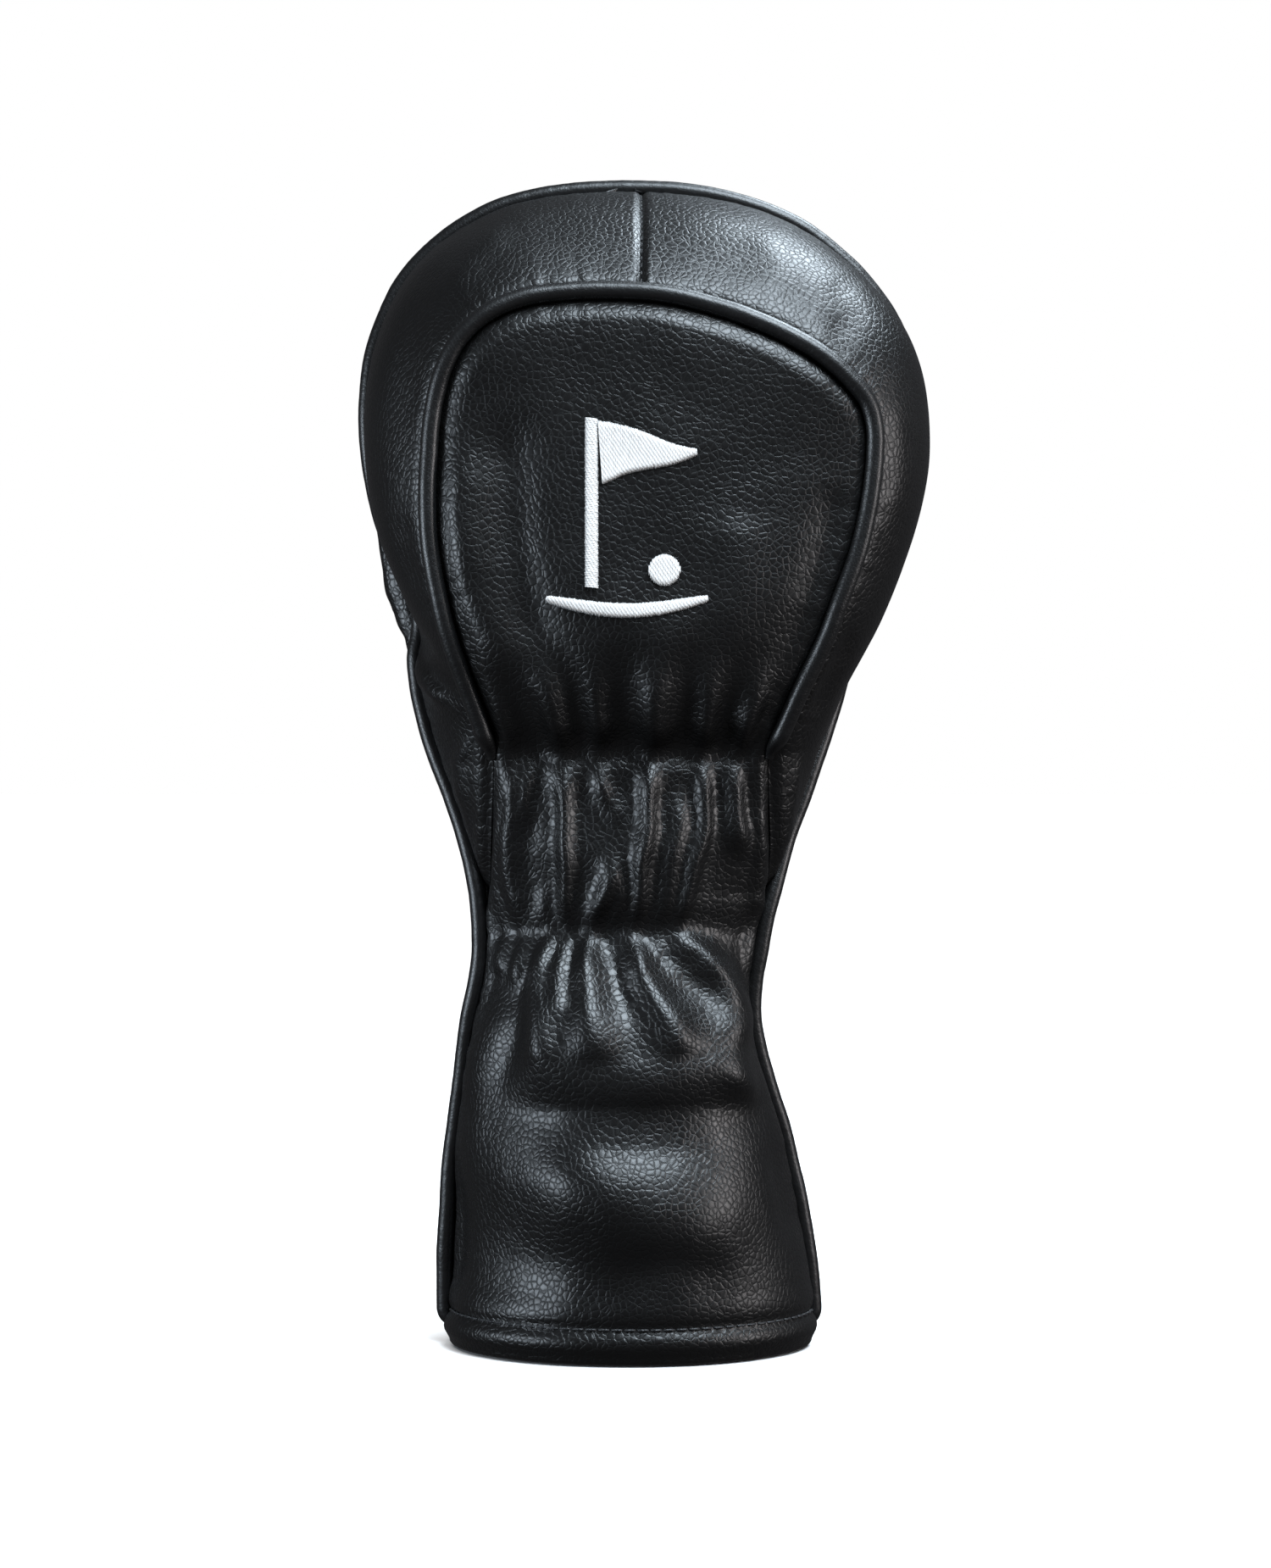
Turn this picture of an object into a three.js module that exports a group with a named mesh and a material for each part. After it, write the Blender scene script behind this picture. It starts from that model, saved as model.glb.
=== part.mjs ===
// Driver head cover: a soft sewn sleeve for a golf driver, standing on its hem.
// Units are millimetres, +Z is up, the sole-side (emblem) face looks along -Y, the crown side along +Y.
//
// How the real article is sewn:
//   front_panel   one leather panel over the crown of the club head, from hem to the top seam (+Y side)
//   back_panel    one leather panel from the hem to the inner seam; two stitched rows gather it over an elastic
//   gusset L/R    crescent side bands between the two seams, joined at the top centre, tapering to points in the waist
//   two pipings   leather strips folded round a cord, one in each seam
//   inside        foam behind the head panels, a plush lining, a 50 mm elastic, a turned hem facing
import * as THREE from 'three';

// ---------------------------------------------------------------- driving dimensions (mm)
const LEATHER = 1.5;            // thickness of the leather
const FOAM_OUT = 2.4;           // depth of the foam's outer face below the leather's outer face
const FOAM_IN = 4.9;            // depth of the foam's inner face
const LINING_T = 2.2;           // thickness of the plush lining, pressed
const PIPING_R = 2.55;          // outer radius of a piping
const PIPING_BORE_R = 1.75;     // inside radius of the leather round the cord
const CORD_R = 1.42;            // radius of the cord inside a piping
const PIPING_CLEAR = 3.1;       // how far a panel's edge stays from a piping's centre line
const PLAIN_CLEAR = 0.35;       // how far a panel's edge stays from a plain seam's line
const UPPER_GATHER_Z = 167.5;   // upper stitched row over the elastic
const LOWER_GATHER_Z = 118.9;   // lower stitched row over the elastic
const HEM_STITCH_Z = 10.0;      // topstitching round the hem
const PANEL_FOOT_Z = 1.95;      // the panels' lower edge, just above the turned hem
const HEM_FACING_H = 11;        // height of the turned-in facing
const THREAD_R = 0.45;          // radius of a sewing thread row
const JOINT_X = -0.8;           // where the two gusset halves meet at the top centre
const THREAD_GAP = 0.3;         // how far a thread row lies off the leather
const CENTRE = [0.576, 0.649, 0]; // shift that puts the middle of the whole cover on the Z axis

// Seam lines, [x, y, z]. The crown seam runs hem - over the top - hem; the sole seam from waist point to waist point.
const CROWN_SEAM = [
  [-56.6, -2.5, 2.0], [-56.8, -3.0, 15.2], [-56.8, -3.5, 27.4], [-55.8, -4.0, 39.6], [-55.1, -4.5, 52.8], [-53.8, -5.5, 62.8],
  [-51.5, -7.5, 79.2], [-49.5, -9.5, 92.9], [-47.7, -10.5, 101.8], [-46.5, -10.5, 110.0], [-46.5, -10.5, 119.9], [-47.8, -9.5, 132.0],
  [-51.1, -6.5, 145.2], [-55.3, -4.5, 157.3], [-59.8, -2.5, 168.7], [-62.6, -0.5, 178.0], [-64.9, 1.5, 187.8], [-65.7, 2.5, 196.3],
  [-64.6, 3.3, 204.0], [-65.0, 3.6, 210.6], [-67.0, 4.0, 216.0], [-70.0, 4.5, 222.6], [-73.2, 5.5, 229.5], [-76.2, 6.0, 238.1],
  [-78.2, 6.5, 247.2], [-79.4, 6.5, 256.1], [-79.9, 6.5, 264.4], [-79.7, 6.5, 272.5], [-78.4, 6.5, 282.3], [-75.7, 6.5, 291.4],
  [-70.6, 6.5, 302.6], [-63.7, 6.0, 311.6], [-53.9, 5.5, 319.6], [-39.7, 5.5, 326.8], [-24.5, 5.5, 330.2], [-12.2, 5.5, 331.3],
  [-0.7, 5.5, 331.4], [11.0, 5.5, 330.6], [23.3, 5.5, 328.6], [35.5, 5.5, 324.9], [46.6, 5.7, 319.4], [56.4, 6.0, 312.1],
  [64.3, 6.5, 304.1], [70.7, 7.0, 295.4], [75.1, 7.5, 285.6], [77.8, 7.5, 275.1], [78.8, 7.5, 264.0], [78.1, 7.5, 253.0],
  [75.8, 7.0, 240.7], [72.1, 6.5, 228.4], [67.7, 6.0, 217.3], [62.4, 5.0, 206.2], [57.7, 3.5, 195.1], [54.7, 1.5, 184.1],
  [51.4, -0.5, 174.3], [48.4, -2.5, 165.8], [44.6, -4.5, 154.8], [40.4, -6.5, 144.0], [37.7, -8.5, 134.3], [35.2, -10.0, 124.7],
  [33.0, -10.5, 113.9], [31.3, -10.5, 104.3], [30.9, -10.0, 94.6], [32.6, -8.5, 83.6], [35.8, -7.0, 72.6], [39.5, -5.5, 61.6],
  [42.4, -4.5, 49.4], [44.9, -4.0, 37.2], [46.8, -3.5, 25.0], [48.1, -3.0, 12.8], [48.8, -2.5, 2.0],
];
const SOLE_SEAM = [
  [-45.7, -12.5, 129.1], [-45.2, -15.5, 134.5], [-44.9, -19.5, 141.8], [-44.3, -23.5, 151.4], [-43.7, -26.5, 159.7],
  [-43.6, -28.5, 166.8], [-44.9, -30.5, 174.1], [-47.2, -32.5, 180.9], [-49.9, -34.5, 188.2], [-52.4, -36.5, 195.4],
  [-54.7, -38.0, 203.1], [-56.5, -39.0, 210.5], [-58.1, -39.7, 218.2], [-59.3, -40.1, 226.4], [-59.8, -40.5, 234.5],
  [-59.7, -40.5, 242.7], [-59.2, -40.5, 250.9], [-58.6, -40.8, 259.0], [-57.3, -41.5, 266.9], [-55.2, -42.5, 274.0],
  [-50.7, -43.2, 282.3], [-43.4, -43.5, 289.0], [-33.2, -43.2, 293.4], [-22.3, -42.7, 295.0], [-11.8, -42.5, 295.5],
  [-1.0, -42.5, 295.2], [8.1, -42.5, 294.1], [17.4, -42.7, 291.8], [27.9, -43.2, 288.4], [38.4, -43.5, 283.9],
  [48.8, -43.5, 277.8], [56.8, -42.8, 270.9], [61.5, -41.8, 265.0], [63.5, -41.0, 257.8], [63.5, -40.5, 250.2],
  [62.8, -40.3, 242.7], [61.4, -40.0, 233.8], [59.3, -39.7, 225.2], [56.5, -39.5, 217.0], [53.5, -39.0, 209.1],
  [50.6, -37.5, 201.2], [47.4, -36.0, 193.8], [43.7, -34.5, 186.3], [40.2, -32.5, 178.6], [37.7, -30.7, 172.7],
  [35.9, -28.5, 166.8], [36.0, -26.5, 159.7], [36.6, -23.5, 151.4], [37.3, -19.5, 141.8], [37.1, -15.5, 134.5],
  [35.8, -12.5, 128.4],
];
const SOLE_PIPING_Z = 167.6;    // the sole piping ends here, at the upper gather row; below it the seam is plain
// Depth of the two faces along their centre lines, [z, y].
const BACK_LINE = [[0, -47.5], [14.6, -47.1], [26, -46.5], [38, -46], [49, -44.5], [60, -41], [72, -37.5], [83.5, -38], [95, -39.5],
  [107, -36.5], [118.9, -31.5], [130, -33.5], [142, -35.5], [156, -34], [167.5, -33.5], [177, -38.5], [189, -43.5], [200, -46.5],
  [217, -47], [235, -46.5], [254, -45.8], [270, -44.6], [282, -44], [295.5, -42.5]];
const FRONT_LINE = [[0, 42.5], [50, 38.5], [90, 32.5], [120, 29.5], [160, 33.5], [190, 39.5], [220, 44.5], [256, 47.4], [280, 45.5],
  [300, 39.5], [315, 30.5], [323, 22.5], [328, 14.5], [331.4, 5.5]];
// How far the front panel's fullness swells out past the left seam, [z, mm].
const LEFT_SWELL = [[0, 0], [184, 0], [190, 2.5], [196, 7], [201, 11.5], [207, 13], [214, 11.5], [222, 8.5], [236, 4], [250, 1], [262, 0], [340, 0]];

// ---------------------------------------------------------------- curves and tables
const v3 = (p) => new THREE.Vector3(p[0], p[1], p[2]);
const lerp = (a, b, t) => a + (b - a) * t;
const clamp = (x, a, b) => Math.min(b, Math.max(a, x));
const smooth = (a, b, x) => { const t = clamp((x - a) / (b - a), 0, 1); return t * t * (3 - 2 * t); };
const spline = (points) => new THREE.CatmullRomCurve3(points.map(v3), false, 'centripetal');
function table(rows) { // smooth monotone-ish lookup: cubic Hermite with averaged slopes
  const n = rows.length;
  const d = rows.map((r, i) => {
    if (i === 0 || i === n - 1) return 0;
    const a = (r[1] - rows[i - 1][1]) / (r[0] - rows[i - 1][0]);
    const b = (rows[i + 1][1] - r[1]) / (rows[i + 1][0] - r[0]);
    return a * b <= 0 ? 0 : (2 * a * b) / (a + b);
  });
  d[0] = (rows[1][1] - rows[0][1]) / (rows[1][0] - rows[0][0]);
  d[n - 1] = (rows[n - 1][1] - rows[n - 2][1]) / (rows[n - 1][0] - rows[n - 2][0]);
  return (x) => {
    if (x <= rows[0][0]) return rows[0][1];
    if (x >= rows[n - 1][0]) return rows[n - 1][1];
    let i = 0;
    while (x > rows[i + 1][0]) i += 1;
    const h = rows[i + 1][0] - rows[i][0];
    const t = (x - rows[i][0]) / h;
    const t2 = t * t, t3 = t2 * t;
    return rows[i][1] * (2 * t3 - 3 * t2 + 1) + h * d[i] * (t3 - 2 * t2 + t) + rows[i + 1][1] * (3 * t2 - 2 * t3) + h * d[i + 1] * (t3 - t2);
  };
}
const crownCurve = spline(CROWN_SEAM);
const soleCurve = spline(SOLE_SEAM);
const crownLine = crownCurve.getSpacedPoints(520);
const soleLine = soleCurve.getSpacedPoints(400);
function split(line) { // the two branches of a seam as lists that rise in z
  let top = 0;
  line.forEach((p, i) => { if (p.z > line[top].z) top = i; });
  return { left: line.slice(0, top + 1), right: line.slice(top).reverse(), apex: line[top] };
}
function at(branch, z) { // the point of a rising branch at height z
  if (z <= branch[0].z) return branch[0];
  const last = branch.length - 1;
  if (z >= branch[last].z) return branch[last];
  let a = 0, b = last;
  while (b - a > 1) { const m = (a + b) >> 1; if (branch[m].z <= z) a = m; else b = m; }
  return branch[a].clone().lerp(branch[b], (z - branch[a].z) / (branch[b].z - branch[a].z || 1));
}
const crown = split(crownLine);
const sole = split(soleLine);
const backDepth = table(BACK_LINE);
const frontDepth = table(FRONT_LINE);
const leftSwell = table(LEFT_SWELL);

function lineDistance(p, line) {
  let best = Infinity;
  for (let i = 1; i < line.length; i += 1) {
    const a = line[i - 1], b = line[i];
    const dx = b.x - a.x, dy = b.y - a.y, dz = b.z - a.z;
    const t = clamp(((p.x - a.x) * dx + (p.y - a.y) * dy + (p.z - a.z) * dz) / (dx * dx + dy * dy + dz * dz || 1), 0, 1);
    const ex = p.x - a.x - dx * t, ey = p.y - a.y - dy * t, ez = p.z - a.z - dz * t;
    const q = ex * ex + ey * ey + ez * ez;
    if (q < best) best = q;
  }
  return Math.sqrt(best);
}
const solePipingLine = soleLine.filter((p) => p.z >= SOLE_PIPING_Z);
const plainLeft = sole.left.filter((p) => p.z < SOLE_PIPING_Z + 1);
const plainRight = sole.right.filter((p) => p.z < SOLE_PIPING_Z + 1);

// ---------------------------------------------------------------- the three sewn surfaces (their outer faces)
function backEdge(side, z) { // the back panel's edge: the sole seam, and the crown seam below the gusset's point
  const outer = at(crown[side], z);
  const tip = sole[side][0].z;
  if (z >= tip) return at(sole[side], z);
  if (z <= tip - 8) return outer;
  const t = smooth(tip - 8, tip, z);
  return outer.clone().lerp(sole[side][0].clone().setZ(z), t);
}
function backY(x, z) {
  const l = backEdge('left', z), r = backEdge('right', z);
  const u = clamp((2 * x - l.x - r.x) / (r.x - l.x || 1), -1, 1);
  const sag = lerp(0.5, 1, smooth(105, 185, z));
  const edge = lerp(l.y, r.y, (u + 1) / 2);
  return edge + (backDepth(z) - (l.y + r.y) / 2) * (1 - Math.abs(u) ** lerp(2, 2.6, smooth(180, 230, z))) ** sag;
}
function backSurface(z, a) {
  const l = backEdge('left', z), r = backEdge('right', z);
  const x = lerp(l.x, r.x, (1 - Math.cos(Math.PI * a)) / 2);
  return new THREE.Vector3(x, backY(x, z), z);
}
function frontSurface(z, a) { // a runs from the right seam to the left one, so that its normal points out
  const l = at(crown.left, z), r = at(crown.right, z);
  const u = Math.cos(Math.PI * a);
  const edge = lerp(l.y, r.y, (u + 1) / 2);
  const y = edge + (frontDepth(z) - (l.y + r.y) / 2) * (1 - Math.abs(u) ** 2.3) ** 0.5;
  const q = (1 - a) / 0.1;
  return new THREE.Vector3((l.x + r.x) / 2 + ((r.x - l.x) / 2) * u - leftSwell(z) * q * Math.exp(1 - q), y, z);
}
function bandCurves(side) { // matching lengths of the two seams that bound a gusset, from its point to the top centre
  const inner = side === 'left' ? sole.left : sole.right;
  const start = inner[0].z;
  const cut = (line, ends) => { // the stretch of a seam from the gusset's point to the joint at the top centre
    const list = ends === 'left' ? line : [...line].reverse();
    const sign = ends === 'left' ? 1 : -1;
    const i0 = list.findIndex((p) => p.z >= start);
    const i1 = list.findIndex((p, i) => i > i0 && p.z > start + 120 && sign * (p.x - JOINT_X) > 0);
    const a = list[i1 - 1], b = list[i1];
    return [...list.slice(i0, i1), a.clone().lerp(b, (JOINT_X - a.x) / (b.x - a.x))];
  };
  const make = (pts) => {
    const len = [0];
    for (let i = 1; i < pts.length; i += 1) len.push(len[i - 1] + pts[i].distanceTo(pts[i - 1]));
    const total = len[len.length - 1];
    return (s) => {
      const want = clamp(s, 0, 1) * total;
      let a = 0, b = pts.length - 1;
      while (b - a > 1) { const m = (a + b) >> 1; if (len[m] <= want) a = m; else b = m; }
      return pts[a].clone().lerp(pts[b], (want - len[a]) / (len[b] - len[a] || 1));
    };
  };
  return { outer: make(cut(crownLine, side)), inner: make(cut(soleLine, side)) };
}
const bands = { left: bandCurves('left'), right: bandCurves('right') };
const BAND_SWELL = { left: table([[0, 0.06], [0.35, 0.1], [0.6, 0.13], [1, 0.1]]), right: table([[0, 0.1], [0.35, 0.17], [0.6, 0.16], [1, 0.1]]) };
function bandSurface(side) {
  const c = bands[side];
  const sign = side === 'left' ? -1 : 1;
  return (s, t) => {
    const o = c.outer(s), i = c.inner(s);
    const w = o.distanceTo(i);
    const along = c.outer(s + 0.01).add(c.inner(s + 0.01)).sub(c.outer(s - 0.01)).sub(c.inner(s - 0.01));
    const n = along.cross(i.clone().sub(o)).multiplyScalar(sign).normalize();
    return o.lerp(i, t).addScaledVector(n, w * BAND_SWELL[side](s) * 4 * t * (1 - t));
  };
}

// ---------------------------------------------------------------- building closed bodies
function body(vertices, faces) {
  const g = new THREE.BufferGeometry();
  g.setAttribute('position', new THREE.Float32BufferAttribute(vertices.flatMap((p) => [p.x, p.y, p.z]), 3));
  g.setIndex(faces);
  g.computeVertexNormals();
  return g;
}
function normalAt(surface, v, a) {
  const h = 0.004, k = surface.vStep ?? 0.4;
  const da = surface(v, clamp(a + h, 0, 1)).sub(surface(v, clamp(a - h, 0, 1)));
  const dv = surface(clamp(v + k, surface.low, surface.high), a).sub(surface(clamp(v - k, surface.low, surface.high), a));
  return da.cross(dv).normalize();
}
// A sheet of cloth, leather or foam that follows a surface between two depths below it. clear(p) says how far a point is
// inside the sheet's cut edge; the inner face is cut back a little more, as a skived edge is.
function sheet(surface, { low, high, rows, cols, depth, thick, clear, skive = 1.0, spread = (v) => v, levels = null }) {
  const layer = (extra, drop) => {
    const ok = (v, a) => clear(surface(v, a)) - extra >= 0;
    const some = (v) => { for (let i = 1; i < 40; i += 1) if (ok(v, i / 40)) return true; return false; };
    const edgeRow = (from, to) => { // moves from one end of the sheet towards its middle until a row has room
      if (some(from)) return from;
      let a = from, b = to;
      for (let i = 0; i < 30; i += 1) { const m = (a + b) / 2; if (some(m)) b = m; else a = m; }
      return b;
    };
    const mid = (low + high) / 2;
    const v0 = edgeRow(low, mid), v1 = edgeRow(high, mid);
    const grid = [];
    for (let j = 0; j < rows; j += 1) {
      let v = levels ? clamp(levels[j], v0, v1) : lerp(v0, v1, spread(j / (rows - 1)));
      if (levels && j === rows - 1) v = v1;
      let in0 = 0.5;
      for (let i = 0; i <= 60; i += 1) { const a = 0.5 + ((i % 2 ? 1 : -1) * Math.ceil(i / 2)) / 62; if (ok(v, a)) { in0 = a; break; } }
      const find = (end) => {
        let a = end, b = in0;
        if (ok(v, a)) return a;
        for (let i = 0; i < 26; i += 1) { const m = (a + b) / 2; if (ok(v, m)) b = m; else a = m; }
        return b;
      };
      const a0 = find(0), a1 = find(1);
      const row = [];
      for (let i = 0; i < cols; i += 1) {
        const a = lerp(a0, a1, i / (cols - 1));
        row.push(surface(v, a).addScaledVector(normalAt(surface, v, a), -drop));
      }
      grid.push(row);
    }
    return grid;
  };
  const outer = layer(0, depth);
  const inner = layer(skive, depth + thick);
  const vertices = [...outer.flat(), ...inner.flat()];
  const n = rows * cols;
  const faces = [];
  const quad = (a, b, c, d) => faces.push(a, b, c, a, c, d);
  for (let j = 0; j < rows - 1; j += 1) for (let i = 0; i < cols - 1; i += 1) {
    const k = j * cols + i;
    quad(k, k + 1, k + cols + 1, k + cols);
    quad(n + k, n + k + cols, n + k + cols + 1, n + k + 1);
  }
  for (let i = 0; i < cols - 1; i += 1) {
    quad(i, n + i, n + i + 1, i + 1);
    const k = (rows - 1) * cols + i;
    quad(k, k + 1, n + k + 1, n + k);
  }
  for (let j = 0; j < rows - 1; j += 1) {
    const k = j * cols;
    quad(k, k + cols, n + k + cols, n + k);
    const r = k + cols - 1;
    quad(r, n + r, n + r + cols, r + cols);
  }
  return body(vertices, faces);
}
function tube(points, radius, { sides = 8, steps = 40, bore = 0 } = {}) {
  const ring = (r, n) => Array.from({ length: n }, (_, i) => new THREE.Vector2(r * Math.cos((i * 2 * Math.PI) / n), r * Math.sin((i * 2 * Math.PI) / n)));
  const shape = new THREE.Shape(ring(radius, sides));
  if (bore) shape.holes.push(new THREE.Path(ring(bore, Math.max(6, sides - 2)).reverse()));
  const path = new THREE.CatmullRomCurve3(points, false, 'centripetal');
  path.arcLengthDivisions = 1200;
  return new THREE.ExtrudeGeometry(shape, { steps, bevelEnabled: false, extrudePath: path });
}

const group = new THREE.Group();
function add(name, geometry, color, roughness, metalness = 0) {
  const mesh = new THREE.Mesh(geometry, new THREE.MeshStandardMaterial({ color, roughness, metalness }));
  mesh.name = name;
  group.add(mesh);
  return mesh;
}
const BLACK_LEATHER = 0x1b1c1f, PIPING_LEATHER = 0x202226, FOAM = 0x6f7276, PLUSH = 0x2a2b2e, WEBBING = 0x151517, DARK_THREAD = 0x2b2d31, WHITE_THREAD = 0xe9e9e6, CORD = 0xd8d5cc;

// ---------------------------------------------------------------- leather panels
frontSurface.low = 0; frontSurface.high = crown.apex.z;
backSurface.low = 0; backSurface.high = sole.apex.z;
const awayFromPipings = (p) => Math.min(lineDistance(p, crownLine), lineDistance(p, solePipingLine)) - PIPING_CLEAR;
const shellClear = (p) => Math.min(awayFromPipings(p), Math.min(lineDistance(p, plainLeft), lineDistance(p, plainRight)) - PLAIN_CLEAR);
const layerClear = (distance) => (p) => Math.min(lineDistance(p, crownLine), lineDistance(p, soleLine)) - distance;
const topSpread = (v) => Math.sin((v * Math.PI) / 2);

add('front_panel', sheet(frontSurface, { low: PANEL_FOOT_Z, high: crown.apex.z, rows: 26, cols: 17, depth: 0, thick: LEATHER, clear: awayFromPipings, spread: topSpread }), BLACK_LEATHER, 0.5);
const BACK_LEVELS = [PANEL_FOOT_Z, HEM_STITCH_Z, 22, 34, 46, 57, 67, 77, 88, 99, 110, LOWER_GATHER_Z, 124, 130, 138, 147, 156, 161.5, 164.2, 165.8, UPPER_GATHER_Z,
  171, 177, 185, 195, 206, 218, 230, 242, 254, 264, 272, 278.5, 283.5, 287, 289.6, 291.2, 295];
add('back_panel', sheet(backSurface, { low: PANEL_FOOT_Z, high: sole.apex.z, rows: BACK_LEVELS.length, levels: BACK_LEVELS, cols: 15, depth: 0, thick: LEATHER, clear: shellClear }), BLACK_LEATHER, 0.5);
const BAND_LEVELS = [0, 0.008, 0.02, 0.035, 0.055, 0.08, 0.105, 0.125, 0.14, 0.152, 0.162, 0.172, 0.19, 0.215, 0.25, 0.29, 0.33, 0.37, 0.41, 0.45, 0.49, 0.53, 0.57, 0.61, 0.65, 0.69, 0.73, 0.78, 0.83, 0.88, 0.93, 0.97, 1];

for (const side of ['left', 'right']) {
  const s = bandSurface(side);
  const surface = side === 'left' ? (v, a) => s(v, a) : (v, a) => s(v, 1 - a);
  surface.low = 0; surface.high = 1; surface.vStep = 0.01;
  add(`gusset_${side}`, sheet(surface, { low: 0, high: 0.9975, rows: BAND_LEVELS.length, levels: BAND_LEVELS, cols: 5, depth: 0, thick: LEATHER, clear: shellClear }), BLACK_LEATHER, 0.48);
  add(`gusset_foam_${side}`, sheet(surface, { low: 0.3, high: 0.975, rows: 20, cols: 4, depth: FOAM_OUT, thick: FOAM_IN - FOAM_OUT, clear: layerClear(8), skive: 1.2 }), FOAM, 0.95);
}

// ---------------------------------------------------------------- padding
add('front_foam', sheet(frontSurface, { low: 176, high: crown.apex.z, rows: 13, cols: 11, depth: FOAM_OUT, thick: FOAM_IN - FOAM_OUT, clear: layerClear(11), spread: topSpread }), FOAM, 0.95);
add('back_foam', sheet(backSurface, { low: 178, high: sole.apex.z, rows: 11, cols: 9, depth: FOAM_OUT, thick: FOAM_IN - FOAM_OUT, clear: layerClear(8), spread: topSpread, skive: 1.5 }), FOAM, 0.95);

// ---------------------------------------------------------------- elastic behind the gathered waist
add('waist_elastic', sheet(backSurface, { low: LOWER_GATHER_Z + 0.3, high: UPPER_GATHER_Z - 0.3, rows: 6, cols: 15, depth: 2.1, thick: 1.3,
  clear: (p) => Math.min(lineDistance(p, crownLine) - 5, lineDistance(p, soleLine) - 3.4), skive: 0.4 }), WEBBING, 0.85);

// ---------------------------------------------------------------- plush lining, two halves
// The lining lies inside every other layer: along each ray out from the middle it stops where the leather's outer face is
// still this far away.
const liningDepth = (z) => 3.9 + 1.7 * smooth(98, 110, z) + 0.9 * smooth(166, 184, z);
const shellPoints = [];
for (let j = 0; j <= 110; j += 1) for (let i = 0; i <= 60; i += 1) {
  shellPoints.push(frontSurface(crown.apex.z * Math.sin((j / 110) * (Math.PI / 2)), i / 60));
  shellPoints.push(backSurface(sole.apex.z * Math.sin((j / 110) * (Math.PI / 2)), i / 60));
}
for (const side of ['left', 'right']) {
  const s = bandSurface(side);
  for (let j = 0; j <= 120; j += 1) for (let i = 0; i <= 20; i += 1) shellPoints.push(s(j / 120, i / 20));
}
const shellByHeight = new Map();
for (const p of shellPoints) { const k = Math.floor(p.z / 8); if (!shellByHeight.has(k)) shellByHeight.set(k, []); shellByHeight.get(k).push(p); }
function nearShell(p, d) { // true if the shell's outer face is nearer than d
  const k = Math.floor(p.z / 8);
  for (let j = k - 1; j <= k + 1; j += 1) for (const q of shellByHeight.get(j) ?? []) {
    const x = p.x - q.x, y = p.y - q.y, z = p.z - q.z;
    if (x * x + y * y + z * z < d * d) return true;
  }
  return false;
}
const DOME_Z = 248;             // above this height the lining closes as a dome
const LINING_ROWS = 34, LINING_SPOKES = 48;
const liningMid = (z) => { const l = at(crown.left, z), r = at(crown.right, z); return new THREE.Vector3((l.x + r.x) / 2, (l.y + r.y) / 2 - 0.5 * smooth(100, 40, z), z); };
const liningGrid = [];
for (let j = 0; j <= LINING_ROWS; j += 1) {
  const v = j / LINING_ROWS, dome = Math.max(0, (v - 0.66) / 0.34);
  const z = dome ? DOME_Z : lerp(HEM_FACING_H + 0.8, DOME_Z, v / 0.66);
  const from = liningMid(z);
  const up = (dome * Math.PI) / 2;
  const row = [];
  for (let i = 0; i <= LINING_SPOKES; i += 1) {
    const f = (i / LINING_SPOKES) * 2 * Math.PI;
    const dir = new THREE.Vector3(Math.cos(f) * Math.cos(up), Math.sin(f) * Math.cos(up), Math.sin(up));
    let r = 8;
    while (r < 110 && !nearShell(from.clone().addScaledVector(dir, r + 0.5), liningDepth(from.z + dir.z * r))) r += 0.5;
    row.push(from.clone().addScaledVector(dir, r - 0.2));
  }
  liningGrid.push(row);
}
function liningAt(v, f) { // f in turns, anticlockwise from +X seen from above
  const y = clamp(v, 0, 1) * LINING_ROWS, x = (((f % 1) + 1) % 1) * LINING_SPOKES;
  const j = Math.min(LINING_ROWS - 1, Math.floor(y)), i = Math.min(LINING_SPOKES - 1, Math.floor(x));
  const a = liningGrid[j][i].clone().lerp(liningGrid[j][i + 1], x - i);
  return a.lerp(liningGrid[j + 1][i].clone().lerp(liningGrid[j + 1][i + 1], x - i), y - j);
}
const liningFront = (v, a) => liningAt(v, a / 2);
const liningBack = (v, a) => liningAt(v, 0.5 + a / 2 - (a >= 1 ? 1e-9 : 0));
for (const f of [liningBack, liningFront]) { f.low = 0; f.high = 1; f.vStep = 0.012; }
const liningClear = (p) => Math.abs(p.y - liningMid(Math.min(p.z, DOME_Z)).y) - 0.3;
for (const [name, surface] of [['lining_back', liningBack], ['lining_front', liningFront]]) {
  add(name, sheet(surface, { low: 0, high: 0.985, rows: 22, cols: 12, depth: 0, thick: LINING_T, clear: liningClear, skive: 0.6 }), PLUSH, 1);
}

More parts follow.
